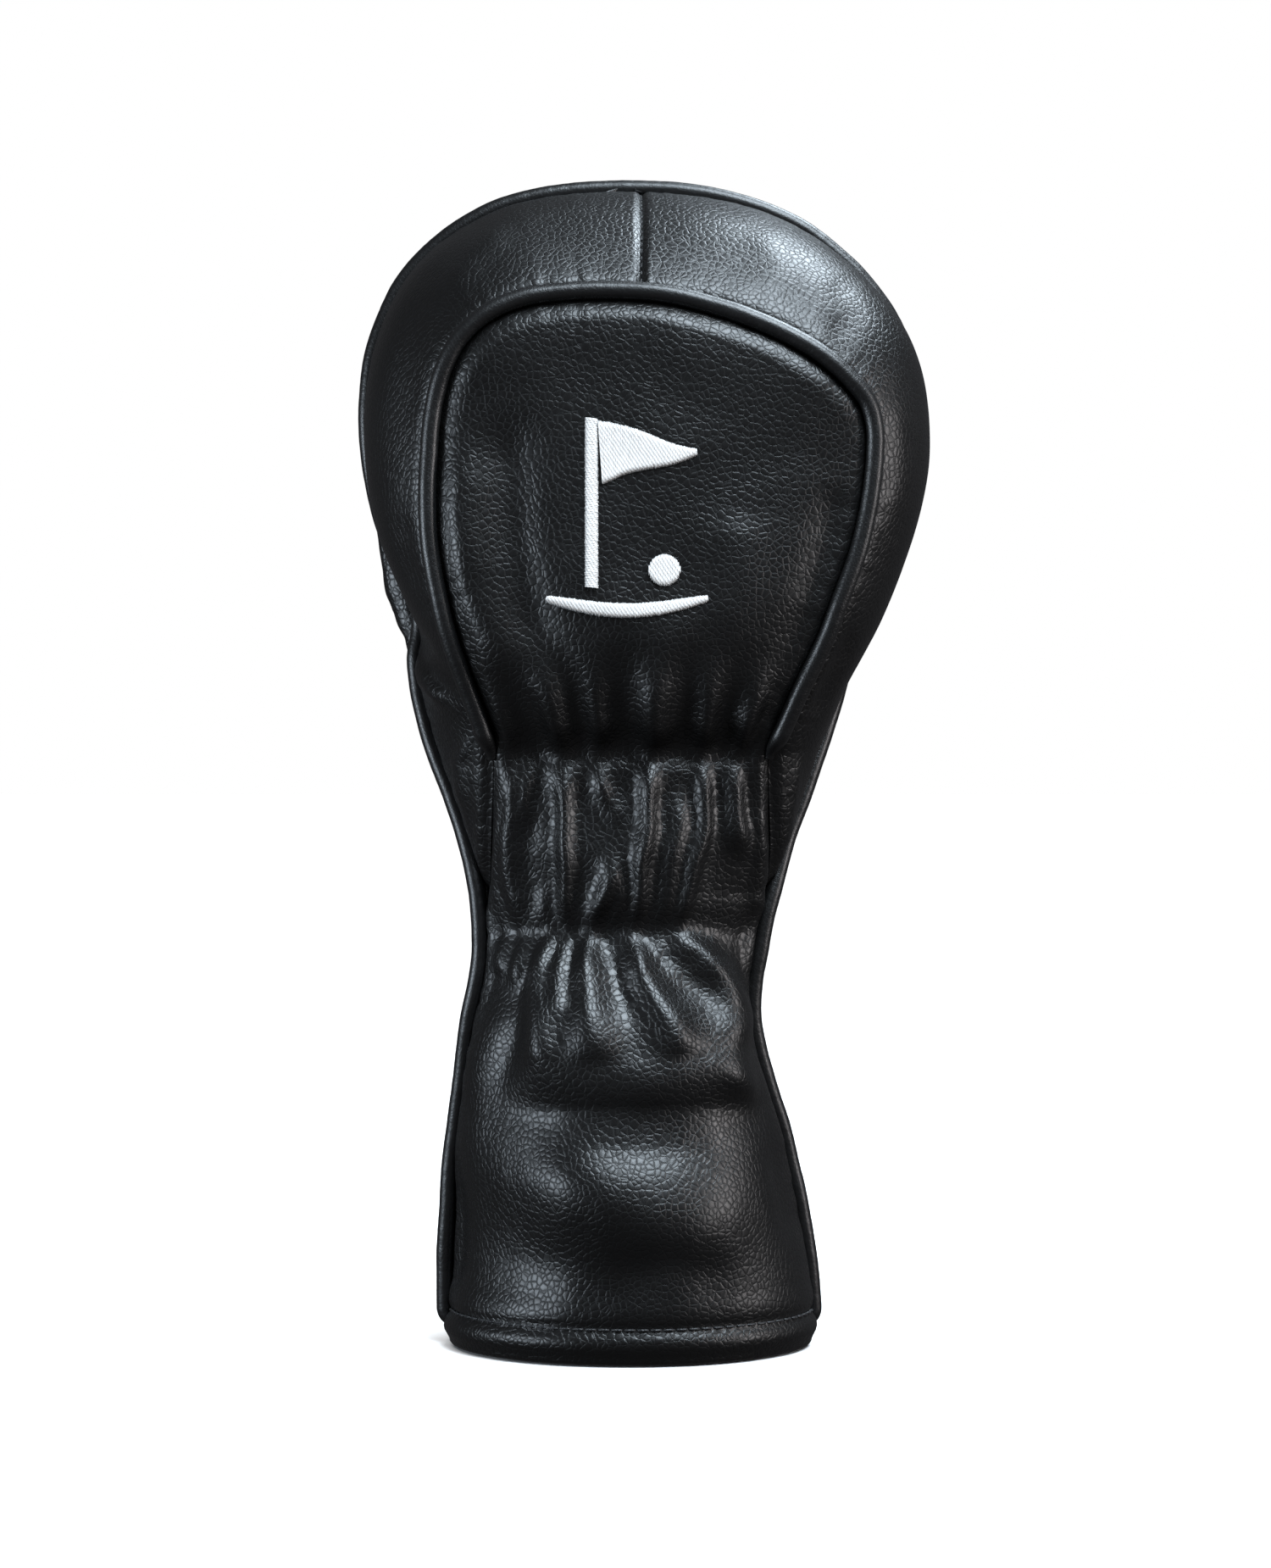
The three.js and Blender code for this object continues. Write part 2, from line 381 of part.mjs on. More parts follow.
// ---------------------------------------------------------------- turned hem: a ring with a flat foot and an inner wall
const hemStations = [];
for (let i = 0; i < 22; i += 1) hemStations.push([backSurface(PANEL_FOOT_Z, i / 22), 'b']);
for (let i = 0; i < 22; i += 1) hemStations.push([frontSurface(PANEL_FOOT_Z, i / 22), 'f']);
const HEM_SECTION = [[0, 1.6], [-0.15, 0.5], [-0.7, 0], [-4.4, 0], [-4.4, HEM_FACING_H], [-3.0, HEM_FACING_H], [-3.0, 1.6]];
{
  const n = hemStations.length, m = HEM_SECTION.length;
  const vertices = [], faces = [];
  hemStations.forEach(([p], i) => {
    const before = hemStations[(i + n - 1) % n][0], after = hemStations[(i + 1) % n][0];
    const out = new THREE.Vector2(after.y - before.y, -(after.x - before.x)).normalize();
    HEM_SECTION.forEach(([d, z]) => vertices.push(new THREE.Vector3(p.x + out.x * d, p.y + out.y * d, z)));
  });
  for (let i = 0; i < n; i += 1) for (let j = 0; j < m; j += 1) {
    const a = i * m + j, b = i * m + ((j + 1) % m), c = ((i + 1) % n) * m + ((j + 1) % m), d = ((i + 1) % n) * m + j;
    faces.push(a, b, c, a, c, d);
  }
  add('hem_facing', body(vertices, faces), BLACK_LEATHER, 0.55);
}

// ---------------------------------------------------------------- pipings and their cords
add('crown_piping_cover', tube(CROWN_SEAM.map(v3), PIPING_R, { sides: 8, steps: 78, bore: PIPING_BORE_R }), PIPING_LEATHER, 0.42);
add('crown_piping_cord', tube(CROWN_SEAM.map(v3), CORD_R, { sides: 5, steps: 78 }), CORD, 0.9);
const solePath = SOLE_SEAM.map(v3).filter((p) => p.z >= SOLE_PIPING_Z + 1);
solePath.unshift(at(sole.left, SOLE_PIPING_Z + 0.4).clone());
solePath.push(at(sole.right, SOLE_PIPING_Z + 0.4).clone());
add('sole_piping_cover', tube(solePath, PIPING_R, { sides: 8, steps: 54, bore: PIPING_BORE_R }), PIPING_LEATHER, 0.42);
add('sole_piping_cord', tube(solePath, CORD_R, { sides: 5, steps: 54 }), CORD, 0.9);

// ---------------------------------------------------------------- sewing threads, each row one connected thread on the leather
function row(surface, z, from, to, count) {
  const points = [];
  for (let i = 0; i <= count; i += 1) {
    const a = lerp(from, to, i / count);
    points.push(surface(z, a).addScaledVector(normalAt(surface, z, a), THREAD_GAP + THREAD_R + 0.25));
  }
  return points;
}
function span(surface, z, clearance) { // the part of a row that stays clear of the seams
  const ok = (a) => Math.min(lineDistance(surface(z, a), crownLine), lineDistance(surface(z, a), soleLine)) > clearance;
  let a0 = 0, a1 = 1;
  while (a0 < 0.5 && !ok(a0)) a0 += 0.002;
  while (a1 > 0.5 && !ok(a1)) a1 -= 0.002;
  return [a0, a1];
}
const threadRow = (name, surface, z, clearance, steps, colour = DARK_THREAD) => {
  const [a0, a1] = span(surface, z, clearance);
  add(name, tube(row(surface, z, a0, a1, 40), THREAD_R, { sides: 4, steps }), colour, 0.7);
};
threadRow('upper_gather_stitching', backSurface, UPPER_GATHER_Z, 4.2, 22);
threadRow('lower_gather_stitching', backSurface, LOWER_GATHER_Z, 4.2, 26);
threadRow('hem_stitching_back', backSurface, HEM_STITCH_Z, 4.2, 32);
threadRow('hem_stitching_front', frontSurface, HEM_STITCH_Z, 4.2, 32);
{
  const s = bandSurface('right');
  const points = [];
  for (let i = 0; i <= 12; i += 1) {
    const t = lerp(0.12, 0.88, i / 12);
    const surface = (v, a) => s(v, 1 - a);
    surface.low = 0; surface.high = 1; surface.vStep = 0.01;
    const p = s(0.987, t);
    points.push(p.addScaledVector(normalAt(surface, 0.987, 1 - t), THREAD_GAP + THREAD_R + 0.35));
  }
  add('top_seam_stitching', tube(points, THREAD_R, { sides: 4, steps: 10 }), DARK_THREAD, 0.7);
}

// ---------------------------------------------------------------- embroidered golf flag on the sole face
function patch(points) { // points: [x, z, half width], a strip that follows the back panel and stands 0.9 mm proud of it
  const across = 3, vertices = [], faces = [];
  const place = (x, z, up) => {
    const h = 0.5;
    const dx = (backY(x + h, z) - backY(x - h, z)) / (2 * h), dz = (backY(x, z + h) - backY(x, z - h)) / (2 * h);
    return new THREE.Vector3(x, backY(x, z), z).addScaledVector(new THREE.Vector3(dx, -1, dz).normalize(), up);
  };
  const n = points.length;
  for (const up of [1.25, 0.4]) points.forEach(([x, z, w], i) => {
    const p = points[Math.max(0, i - 1)], q = points[Math.min(n - 1, i + 1)];
    const t = new THREE.Vector2(q[0] - p[0], q[1] - p[1]).normalize();
    for (let k = 0; k < across; k += 1) {
      const o = w * (k / (across - 1) * 2 - 1);
      vertices.push(place(x - t.y * o, z + t.x * o, up));
    }
  });
  const m = n * across;
  const quad = (a, b, c, d) => faces.push(a, b, c, a, c, d);
  for (let i = 0; i < n - 1; i += 1) for (let k = 0; k < across - 1; k += 1) {
    const a = i * across + k;
    quad(a, a + across, a + across + 1, a + 1);
    quad(m + a, m + a + 1, m + a + across + 1, m + a + across);
  }
  for (let i = 0; i < n - 1; i += 1) {
    const a = i * across, b = a + across - 1;
    quad(a, m + a, m + a + across, a + across);
    quad(b, b + across, m + b + across, m + b);
  }
  for (let k = 0; k < across - 1; k += 1) {
    const b = (n - 1) * across + k;
    quad(k, k + 1, m + k + 1, m + k);
    quad(b, m + b, m + b + 1, b + 1);
  }
  return body(vertices, faces);
}
const strip = (n, f) => Array.from({ length: n + 1 }, (_, i) => f(i / n));
add('emblem_flagstick', patch(strip(8, (t) => [-14.5, lerp(213.5, 260, t), 1.6])), WHITE_THREAD, 0.6);
add('emblem_pennant', patch(strip(8, (t) => [lerp(-12.3, 14.5, t), 250.6, lerp(8.6, 0.7, t)])), WHITE_THREAD, 0.6);
add('emblem_ground', patch(strip(14, (t) => { const x = lerp(-27, 17.5, t); return [x, 210.6 - 3.4 * Math.sin(Math.PI * t), 0.5 + 1.3 * Math.sin(Math.PI * t) ** 0.5]; })), WHITE_THREAD, 0.6);
add('emblem_ball', patch(strip(10, (t) => { const c = Math.cos(Math.PI * (1 - t)); return [5.5 + 4.3 * c, 218.3, Math.max(0.5, 4.3 * Math.sqrt(Math.max(0, 1 - c * c)))]; })), WHITE_THREAD, 0.6);

group.position.set(CENTRE[0], CENTRE[1], CENTRE[2]);
export default group;
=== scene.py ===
import bpy
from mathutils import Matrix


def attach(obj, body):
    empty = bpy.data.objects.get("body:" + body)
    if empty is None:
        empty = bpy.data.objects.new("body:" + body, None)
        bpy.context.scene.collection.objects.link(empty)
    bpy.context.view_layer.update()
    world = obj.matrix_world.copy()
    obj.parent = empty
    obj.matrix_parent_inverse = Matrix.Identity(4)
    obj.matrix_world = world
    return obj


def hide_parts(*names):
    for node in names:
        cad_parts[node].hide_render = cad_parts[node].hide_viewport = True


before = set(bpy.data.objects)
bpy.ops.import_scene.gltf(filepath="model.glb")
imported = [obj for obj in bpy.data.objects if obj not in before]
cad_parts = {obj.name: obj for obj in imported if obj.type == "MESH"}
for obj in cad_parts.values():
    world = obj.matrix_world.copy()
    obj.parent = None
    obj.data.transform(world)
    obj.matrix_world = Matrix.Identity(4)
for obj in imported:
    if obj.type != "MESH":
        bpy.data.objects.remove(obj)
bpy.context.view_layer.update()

import bpy, math
import numpy as np
from mathutils import kdtree

# All lengths here are millimetres until make(), which writes metres. The seams and face lines are the CAD frame's own.
CENTRE = np.array([0.576, 0.649, 0.0])
CROWN = np.array([
    [-56.6, -2.5, 2.0], [-56.8, -3.0, 15.2], [-56.8, -3.5, 27.4], [-55.8, -4.0, 39.6], [-55.1, -4.5, 52.8], [-53.8, -5.5, 62.8],
    [-51.5, -7.5, 79.2], [-49.5, -9.5, 92.9], [-47.7, -10.5, 101.8], [-46.5, -10.5, 110.0], [-46.5, -10.5, 119.9], [-47.8, -9.5, 132.0],
    [-51.1, -6.5, 145.2], [-55.3, -4.5, 157.3], [-59.8, -2.5, 168.7], [-62.6, -0.5, 178.0], [-64.9, 1.5, 187.8], [-65.7, 2.5, 196.3],
    [-64.6, 3.3, 204.0], [-65.0, 3.6, 210.6], [-67.0, 4.0, 216.0], [-70.0, 4.5, 222.6], [-73.2, 5.5, 229.5], [-76.2, 6.0, 238.1],
    [-78.2, 6.5, 247.2], [-79.4, 6.5, 256.1], [-79.9, 6.5, 264.4], [-79.7, 6.5, 272.5], [-78.4, 6.5, 282.3], [-75.7, 6.5, 291.4],
    [-70.6, 6.5, 302.6], [-63.7, 6.0, 311.6], [-53.9, 5.5, 319.6], [-39.7, 5.5, 326.8], [-24.5, 5.5, 330.2], [-12.2, 5.5, 331.3],
    [-0.7, 5.5, 331.4], [11.0, 5.5, 330.6], [23.3, 5.5, 328.6], [35.5, 5.5, 324.9], [46.6, 5.7, 319.4], [56.4, 6.0, 312.1],
    [64.3, 6.5, 304.1], [70.7, 7.0, 295.4], [75.1, 7.5, 285.6], [77.8, 7.5, 275.1], [78.8, 7.5, 264.0], [78.1, 7.5, 253.0],
    [75.8, 7.0, 240.7], [72.1, 6.5, 228.4], [67.7, 6.0, 217.3], [62.4, 5.0, 206.2], [57.7, 3.5, 195.1], [54.7, 1.5, 184.1],
    [51.4, -0.5, 174.3], [48.4, -2.5, 165.8], [44.6, -4.5, 154.8], [40.4, -6.5, 144.0], [37.7, -8.5, 134.3], [35.2, -10.0, 124.7],
    [33.0, -10.5, 113.9], [31.3, -10.5, 104.3], [30.9, -10.0, 94.6], [32.6, -8.5, 83.6], [35.8, -7.0, 72.6], [39.5, -5.5, 61.6],
    [42.4, -4.5, 49.4], [44.9, -4.0, 37.2], [46.8, -3.5, 25.0], [48.1, -3.0, 12.8], [48.8, -2.5, 2.0]])
SOLE = np.array([
    [-45.7, -12.5, 129.1], [-45.2, -15.5, 134.5], [-44.9, -19.5, 141.8], [-44.3, -23.5, 151.4], [-43.7, -26.5, 159.7],
    [-43.6, -28.5, 166.8], [-44.9, -30.5, 174.1], [-47.2, -32.5, 180.9], [-49.9, -34.5, 188.2], [-52.4, -36.5, 195.4],
    [-54.7, -38.0, 203.1], [-56.5, -39.0, 210.5], [-58.1, -39.7, 218.2], [-59.3, -40.1, 226.4], [-59.8, -40.5, 234.5],
    [-59.7, -40.5, 242.7], [-59.2, -40.5, 250.9], [-58.6, -40.8, 259.0], [-57.3, -41.5, 266.9], [-55.2, -42.5, 274.0],
    [-50.7, -43.2, 282.3], [-43.4, -43.5, 289.0], [-33.2, -43.2, 293.4], [-22.3, -42.7, 295.0], [-11.8, -42.5, 295.5],
    [-1.0, -42.5, 295.2], [8.1, -42.5, 294.1], [17.4, -42.7, 291.8], [27.9, -43.2, 288.4], [38.4, -43.5, 283.9],
    [48.8, -43.5, 277.8], [56.8, -42.8, 270.9], [61.5, -41.8, 265.0], [63.5, -41.0, 257.8], [63.5, -40.5, 250.2],
    [62.8, -40.3, 242.7], [61.4, -40.0, 233.8], [59.3, -39.7, 225.2], [56.5, -39.5, 217.0], [53.5, -39.0, 209.1],
    [50.6, -37.5, 201.2], [47.4, -36.0, 193.8], [43.7, -34.5, 186.3], [40.2, -32.5, 178.6], [37.7, -30.7, 172.7],
    [35.9, -28.5, 166.8], [36.0, -26.5, 159.7], [36.6, -23.5, 151.4], [37.3, -19.5, 141.8], [37.1, -15.5, 134.5],
    [35.8, -12.5, 128.4]])
BACK_LINE = [[0, -47.5], [14.6, -47.1], [26, -46.5], [38, -46], [49, -44.5], [60, -41], [72, -37.5], [83.5, -38], [95, -39.5],
             [107, -36.5], [118.9, -31.5], [130, -33.5], [142, -35.5], [156, -34], [167.5, -33.5], [177, -38.5], [189, -43.5],
             [200, -46.5], [217, -47], [235, -46.5], [254, -45.8], [270, -44.6], [282, -44], [295.5, -42.5]]
FRONT_LINE = [[0, 42.5], [50, 38.5], [90, 32.5], [120, 29.5], [160, 33.5], [190, 39.5], [220, 44.5], [256, 47.4], [280, 45.5],
              [300, 39.5], [315, 30.5], [323, 22.5], [328, 14.5], [331.4, 5.5]]
LEFT_SWELL = [[0, 0], [184, 0], [190, 1.6], [196, 3.6], [201, 6.2], [207, 9.6], [214, 10.8], [222, 8.5], [236, 4], [250, 1], [262, 0], [340, 0]]
UPPER_Z, LOWER_Z, HEM_Z = 167.5, 118.9, 10.0
JOINT_X = -0.8


# ------------------------------------------------------------------ curves and tables
def smooth(a, b, x):
    t = np.clip((np.asarray(x, float) - a) / (b - a), 0, 1)
    return t * t * (3 - 2 * t)


def table(rows):
    r = np.array(rows, float)
    x, y = r[:, 0], r[:, 1]
    s = np.diff(y) / np.diff(x)
    d = np.zeros(len(x))
    a, b = s[:-1], s[1:]
    with np.errstate(divide="ignore", invalid="ignore"):
        d[1:-1] = np.where(a * b > 0, 2 * a * b / (a + b), 0)
    d[0], d[-1] = s[0], s[-1]

    def f(q):
        q = np.clip(np.asarray(q, float), x[0], x[-1])
        i = np.clip(np.searchsorted(x, q, side="right") - 1, 0, len(x) - 2)
        h = x[i + 1] - x[i]
        t = (q - x[i]) / h
        t2, t3 = t * t, t * t * t
        return y[i] * (2 * t3 - 3 * t2 + 1) + h * d[i] * (t3 - 2 * t2 + t) + y[i + 1] * (3 * t2 - 2 * t3) + h * d[i + 1] * (t3 - t2)
    return f


def spline(p, n):
    """n points at even spacing on the centripetal spline through p."""
    p = np.asarray(p, float)
    q = np.vstack([2 * p[0] - p[1], p, 2 * p[-1] - p[-2]])
    out = []
    for k in range(len(p) - 1):
        a, b, c, d = q[k:k + 4]
        t0 = 0.0
        t1 = t0 + np.linalg.norm(b - a) ** 0.5
        t2 = t1 + np.linalg.norm(c - b) ** 0.5
        t3 = t2 + np.linalg.norm(d - c) ** 0.5
        t = np.linspace(t1, t2, 24, endpoint=False)[:, None]
        A1 = (t1 - t) / (t1 - t0) * a + (t - t0) / (t1 - t0) * b
        A2 = (t2 - t) / (t2 - t1) * b + (t - t1) / (t2 - t1) * c
        A3 = (t3 - t) / (t3 - t2) * c + (t - t2) / (t3 - t2) * d
        B1 = (t2 - t) / (t2 - t0) * A1 + (t - t0) / (t2 - t0) * A2
        B2 = (t3 - t) / (t3 - t1) * A2 + (t - t1) / (t3 - t1) * A3
        out.append((t2 - t) / (t2 - t1) * B1 + (t - t1) / (t2 - t1) * B2)
    return resample(np.vstack(out + [p[-1:]]), n)


def resample(line, n):
    s = np.concatenate([[0], np.cumsum(np.linalg.norm(np.diff(line, axis=0), axis=1))])
    u = np.linspace(0, s[-1], n)
    return np.stack([np.interp(u, s, line[:, i]) for i in range(line.shape[1])], 1)


crown = spline(CROWN, 1800)
sole = spline(SOLE, 1000)
ct, st = int(np.argmax(crown[:, 2])), int(np.argmax(sole[:, 2]))
BR = {"cl": crown[:ct + 1], "cr": crown[ct:][::-1], "sl": sole[:st + 1], "sr": sole[st:][::-1]}
for k in BR:
    BR[k] = BR[k][np.argsort(BR[k][:, 2], kind="stable")]
back_depth, front_depth, left_swell = table(BACK_LINE), table(FRONT_LINE), table(LEFT_SWELL)


def at(k, z):
    b = BR[k]
    return np.interp(z, b[:, 2], b[:, 0]), np.interp(z, b[:, 2], b[:, 1])


def back_edge(side, z):
    ox, oy = at("c" + side, z)
    ix, iy = at("s" + side, z)
    tip = BR["s" + side][0, 2]
    t = smooth(tip - 8, tip, z)
    t = np.where(z >= tip, 1.0, t)
    return ox + (ix - ox) * t, oy + (iy - oy) * t


def back_y(x, z):
    lx, ly = back_edge("l", z)
    rx, ry = back_edge("r", z)
    u = np.clip((2 * x - lx - rx) / np.maximum(rx - lx, 1e-6), -1, 1)
    sag = 0.5 + 0.5 * smooth(105, 185, z)
    n = 2 + 0.6 * smooth(180, 230, z)
    edge = ly + (ry - ly) * (u + 1) / 2
    return edge + (back_depth(z) - (ly + ry) / 2) * np.maximum(1 - np.abs(u) ** n, 0) ** sag


def back_surface(z, a):
    lx, _ = back_edge("l", z)
    rx, _ = back_edge("r", z)
    x = lx + (rx - lx) * (1 - np.cos(np.pi * a)) / 2
    return np.stack([x, back_y(x, z), z + 0 * x], -1)


def front_surface(z, a):
    lx, ly = at("cl", z)
    rx, ry = at("cr", z)
    u = np.cos(np.pi * a)
    edge = ly + (ry - ly) * (u + 1) / 2
    y = edge + (front_depth(z) - (ly + ry) / 2) * np.maximum(1 - np.abs(u) ** 2.3, 0) ** 0.5
    q = (1 - a) / 0.1
    return np.stack([(lx + rx) / 2 + (rx - lx) / 2 * u - left_swell(z) * q * np.exp(1 - q), y, z + 0 * u], -1)


def band_line(line, side):
    start = BR["s" + side][0, 2]
    lst = line if side == "l" else line[::-1]
    sg = 1 if side == "l" else -1
    i0 = int(np.argmax(lst[:, 2] >= start))
    ok = (np.arange(len(lst)) > i0) & (lst[:, 2] > start + 120) & (sg * (lst[:, 0] - JOINT_X) > 0)
    i1 = int(np.argmax(ok))
    return resample(lst[i0:i1 + 1], 700)


BAND = {s: (band_line(crown, s), band_line(sole, s)) for s in "lr"}
BAND_SWELL = {"l": table([[0, 0.06], [0.35, 0.1], [0.6, 0.13], [1, 0.1]]), "r": table([[0, 0.1], [0.35, 0.17], [0.6, 0.16], [1, 0.1]])}


def band_surface(side, s, t):
    o, i = BAND[side]
    k = np.linspace(0, 1, len(o))
    O = np.stack([np.interp(s, k, o[:, c]) for c in range(3)], -1)
    I = np.stack([np.interp(s, k, i[:, c]) for c in range(3)], -1)
    do, di = np.gradient(o, axis=0), np.gradient(i, axis=0)
    al = np.stack([np.interp(s, k, do[:, c] + di[:, c]) for c in range(3)], -1)
    n = np.cross(al, I - O) * (-1 if side == "l" else 1)
    n /= np.maximum(np.linalg.norm(n, axis=-1, keepdims=True), 1e-9)
    w = np.linalg.norm(I - O, axis=-1, keepdims=True)
    t = t[..., None]
    return O + (I - O) * t + n * w * BAND_SWELL[side](s)[..., None] * 4 * t * (1 - t)


# ------------------------------------------------------------------ noise, meshes
RNG = np.random.default_rng(7)
PERM = np.concatenate([RNG.permutation(256)] * 2)
GRAD = RNG.normal(size=(256, 3))
GRAD /= np.linalg.norm(GRAD, axis=1, keepdims=True)


def noise(p, scale, seed=0.0):
    """Gradient noise in about -0.7 to 0.7, features about scale mm apart. scale may be one number for each axis."""
    q = np.asarray(p, float) / np.asarray(scale, float) + seed * 17.31
    f = np.floor(q).astype(int)
    r = q - f
    w = r * r * r * (r * (6 * r - 15) + 10)
    out = 0
    for dx in (0, 1):
        for dy in (0, 1):
            for dz in (0, 1):
                h = PERM[(PERM[(PERM[(f[..., 0] + dx) & 255] + f[..., 1] + dy) & 255] + f[..., 2] + dz) & 255]
                g = GRAD[h]
                d = g[..., 0] * (r[..., 0] - dx) + g[..., 1] * (r[..., 1] - dy) + g[..., 2] * (r[..., 2] - dz)
                wx = w[..., 0] if dx else 1 - w[..., 0]
                wy = w[..., 1] if dy else 1 - w[..., 1]
                wz = w[..., 2] if dz else 1 - w[..., 2]
                out = out + d * wx * wy * wz
    return out * 1.4


def grid_normals(P, outward):
    du = np.gradient(P, axis=1)
    dv = np.gradient(P, axis=0)
    n = np.cross(du, dv)
    n /= np.maximum(np.linalg.norm(n, axis=-1, keepdims=True), 1e-9)
    if np.mean(np.sum(n * outward, -1)) < 0:
        n = -n
    return n


def tree_of(line):
    t = kdtree.KDTree(len(line))
    for i, p in enumerate(line):
        t.insert(p, i)
    t.balance()
    return t


def near(tree, P):
    flat = P.reshape(-1, 3)
    d = np.empty(len(flat))
    k = np.empty(len(flat), int)
    for i, p in enumerate(flat):
        _, k[i], d[i] = tree.find(p)
    return d.reshape(P.shape[:-1]), k.reshape(P.shape[:-1])


def sample(grid, j, i):
    j0, i0 = np.clip(np.floor(j).astype(int), 0, grid.shape[0] - 2), np.clip(np.floor(i).astype(int), 0, grid.shape[1] - 2)
    a, b = (j - j0)[:, None], (i - i0)[:, None]
    return (grid[j0, i0] * (1 - b) + grid[j0, i0 + 1] * b) * (1 - a) + (grid[j0 + 1, i0] * (1 - b) + grid[j0 + 1, i0 + 1] * b) * a


def make(name, verts, faces, mat, nodes, smooth_faces=True, mats=None, face_mats=None):
    me = bpy.data.meshes.new(name)
    me.from_pydata(((np.asarray(verts) + CENTRE) / 1000).tolist(), [], [tuple(f) for f in (faces.tolist() if isinstance(faces, np.ndarray) else faces)])
    me.update()
    if smooth_faces:
        me.polygons.foreach_set("use_smooth", np.ones(len(me.polygons), bool))
    ob = bpy.data.objects.new(name, me)
    bpy.context.scene.collection.objects.link(ob)
    for m in mats or [mat]:
        me.materials.append(m)
    if face_mats is not None:
        me.polygons.foreach_set("material_index", np.asarray(face_mats, np.int32))
    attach(ob, "root")
    if nodes:
        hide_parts(*nodes)
    return ob


def slab(P, N, thick):
    """A closed sheet: the grid P and a copy thick below it along N. Returns vertices and faces that look outward."""
    r, c = P.shape[:2]
    v = np.vstack([P.reshape(-1, 3), (P - N * thick).reshape(-1, 3)])
    n = r * c
    j, i = np.meshgrid(np.arange(r - 1), np.arange(c - 1), indexing="ij")
    a = (j * c + i).ravel()
    top = np.stack([a, a + 1, a + c + 1, a + c], 1)
    p0, p1, p2 = v[top[:, 0]], v[top[:, 1]], v[top[:, 3]]
    flip = np.mean(np.sum(np.cross(p1 - p0, p2 - p0) * N[:-1, :-1].reshape(-1, 3), 1)) < 0
    if flip:
        top = top[:, ::-1]
    bottom = top[:, ::-1] + n
    ring = np.concatenate([np.arange(c), np.arange(1, r) * c + c - 1, (r - 1) * c + np.arange(c - 2, -1, -1), np.arange(r - 2, 0, -1) * c])
    nxt = np.roll(ring, -1)
    side = np.stack([ring, ring + n, nxt + n, nxt], 1)
    if flip:
        side = side[:, ::-1]
    return v, np.vstack([top, bottom, side])


def tube(line, radius, sides=20, cap=True, squash=None, normals=None):
    """A swept round body on a line; radius is a number or one for each point."""
    line = np.asarray(line, float)
    n = len(line)
    t = np.gradient(line, axis=0)
    t /= np.linalg.norm(t, axis=1, keepdims=True)
    if normals is None:
        ref = np.array([0.0, 0.0, 1.0]) if abs(t[0][2]) < 0.9 else np.array([1.0, 0.0, 0.0])
        u = np.cross(t[0], ref)
        U = np.empty_like(line)
        for k in range(n):
            u = u - t[k] * np.dot(u, t[k])
            u /= np.linalg.norm(u)
            U[k] = u
    else:
        U = normals - t * np.sum(normals * t, 1, keepdims=True)
        U /= np.linalg.norm(U, axis=1, keepdims=True)
    W = np.cross(t, U)
    r = np.broadcast_to(np.asarray(radius, float), (n,))
    ang = np.arange(sides) * 2 * np.pi / sides
    cu, sw = np.cos(ang), np.sin(ang)
    if squash is not None:
        cu = cu * squash
    V = line[:, None] + r[:, None, None] * (cu[None, :, None] * U[:, None] + sw[None, :, None] * W[:, None])
    V = V.reshape(-1, 3)
    j, i = np.meshgrid(np.arange(n - 1), np.arange(sides), indexing="ij")
    a, b = (j * sides + i).ravel(), (j * sides + (i + 1) % sides).ravel()
    F = np.stack([a, b, b + sides, a + sides], 1).tolist()
    if cap:
        F.append(list(range(sides))[::-1])
        F.append([(n - 1) * sides + k for k in range(sides)])
    return V, F


# ------------------------------------------------------------------ materials
def nodes_of(m):
    m.use_nodes = True
    nt = m.node_tree
    nt.nodes.clear()
    out = nt.nodes.new("ShaderNodeOutputMaterial")
    b = nt.nodes.new("ShaderNodeBsdfPrincipled")
    nt.links.new(b.outputs[0], out.inputs[0])
    return nt, b


def N(nt, kind, **kw):
    n = nt.nodes.new(kind)
    for k, v in kw.items():
        if k.startswith("i_"):
            n.inputs[k[2:].replace("_", " ")].default_value = v
        else:
            setattr(n, k, v)
    return n


def mixcol(nt, fac, a, b, blend="MIX"):
    m = nt.nodes.new("ShaderNodeMix")
    m.data_type = "RGBA"
    m.blend_type = blend
    for s, v in ((0, fac), (6, a), (7, b)):
        if hasattr(v, "links"):
            nt.links.new(v, m.inputs[s])
        else:
            m.inputs[s].default_value = v
    return m.outputs[2]


def ramp(nt, src, pts):
    r = nt.nodes.new("ShaderNodeValToRGB")
    e = r.color_ramp.elements
    while len(e) > len(pts):
        e.remove(e[-1])
    while len(e) < len(pts):
        e.new(0.5)
    for k, (p, v) in enumerate(pts):
        e[k].position = p
        e[k].color = (v, v, v, 1) if np.isscalar(v) else (*v, 1)
    nt.links.new(src, r.inputs[0])
    return r.outputs[0]


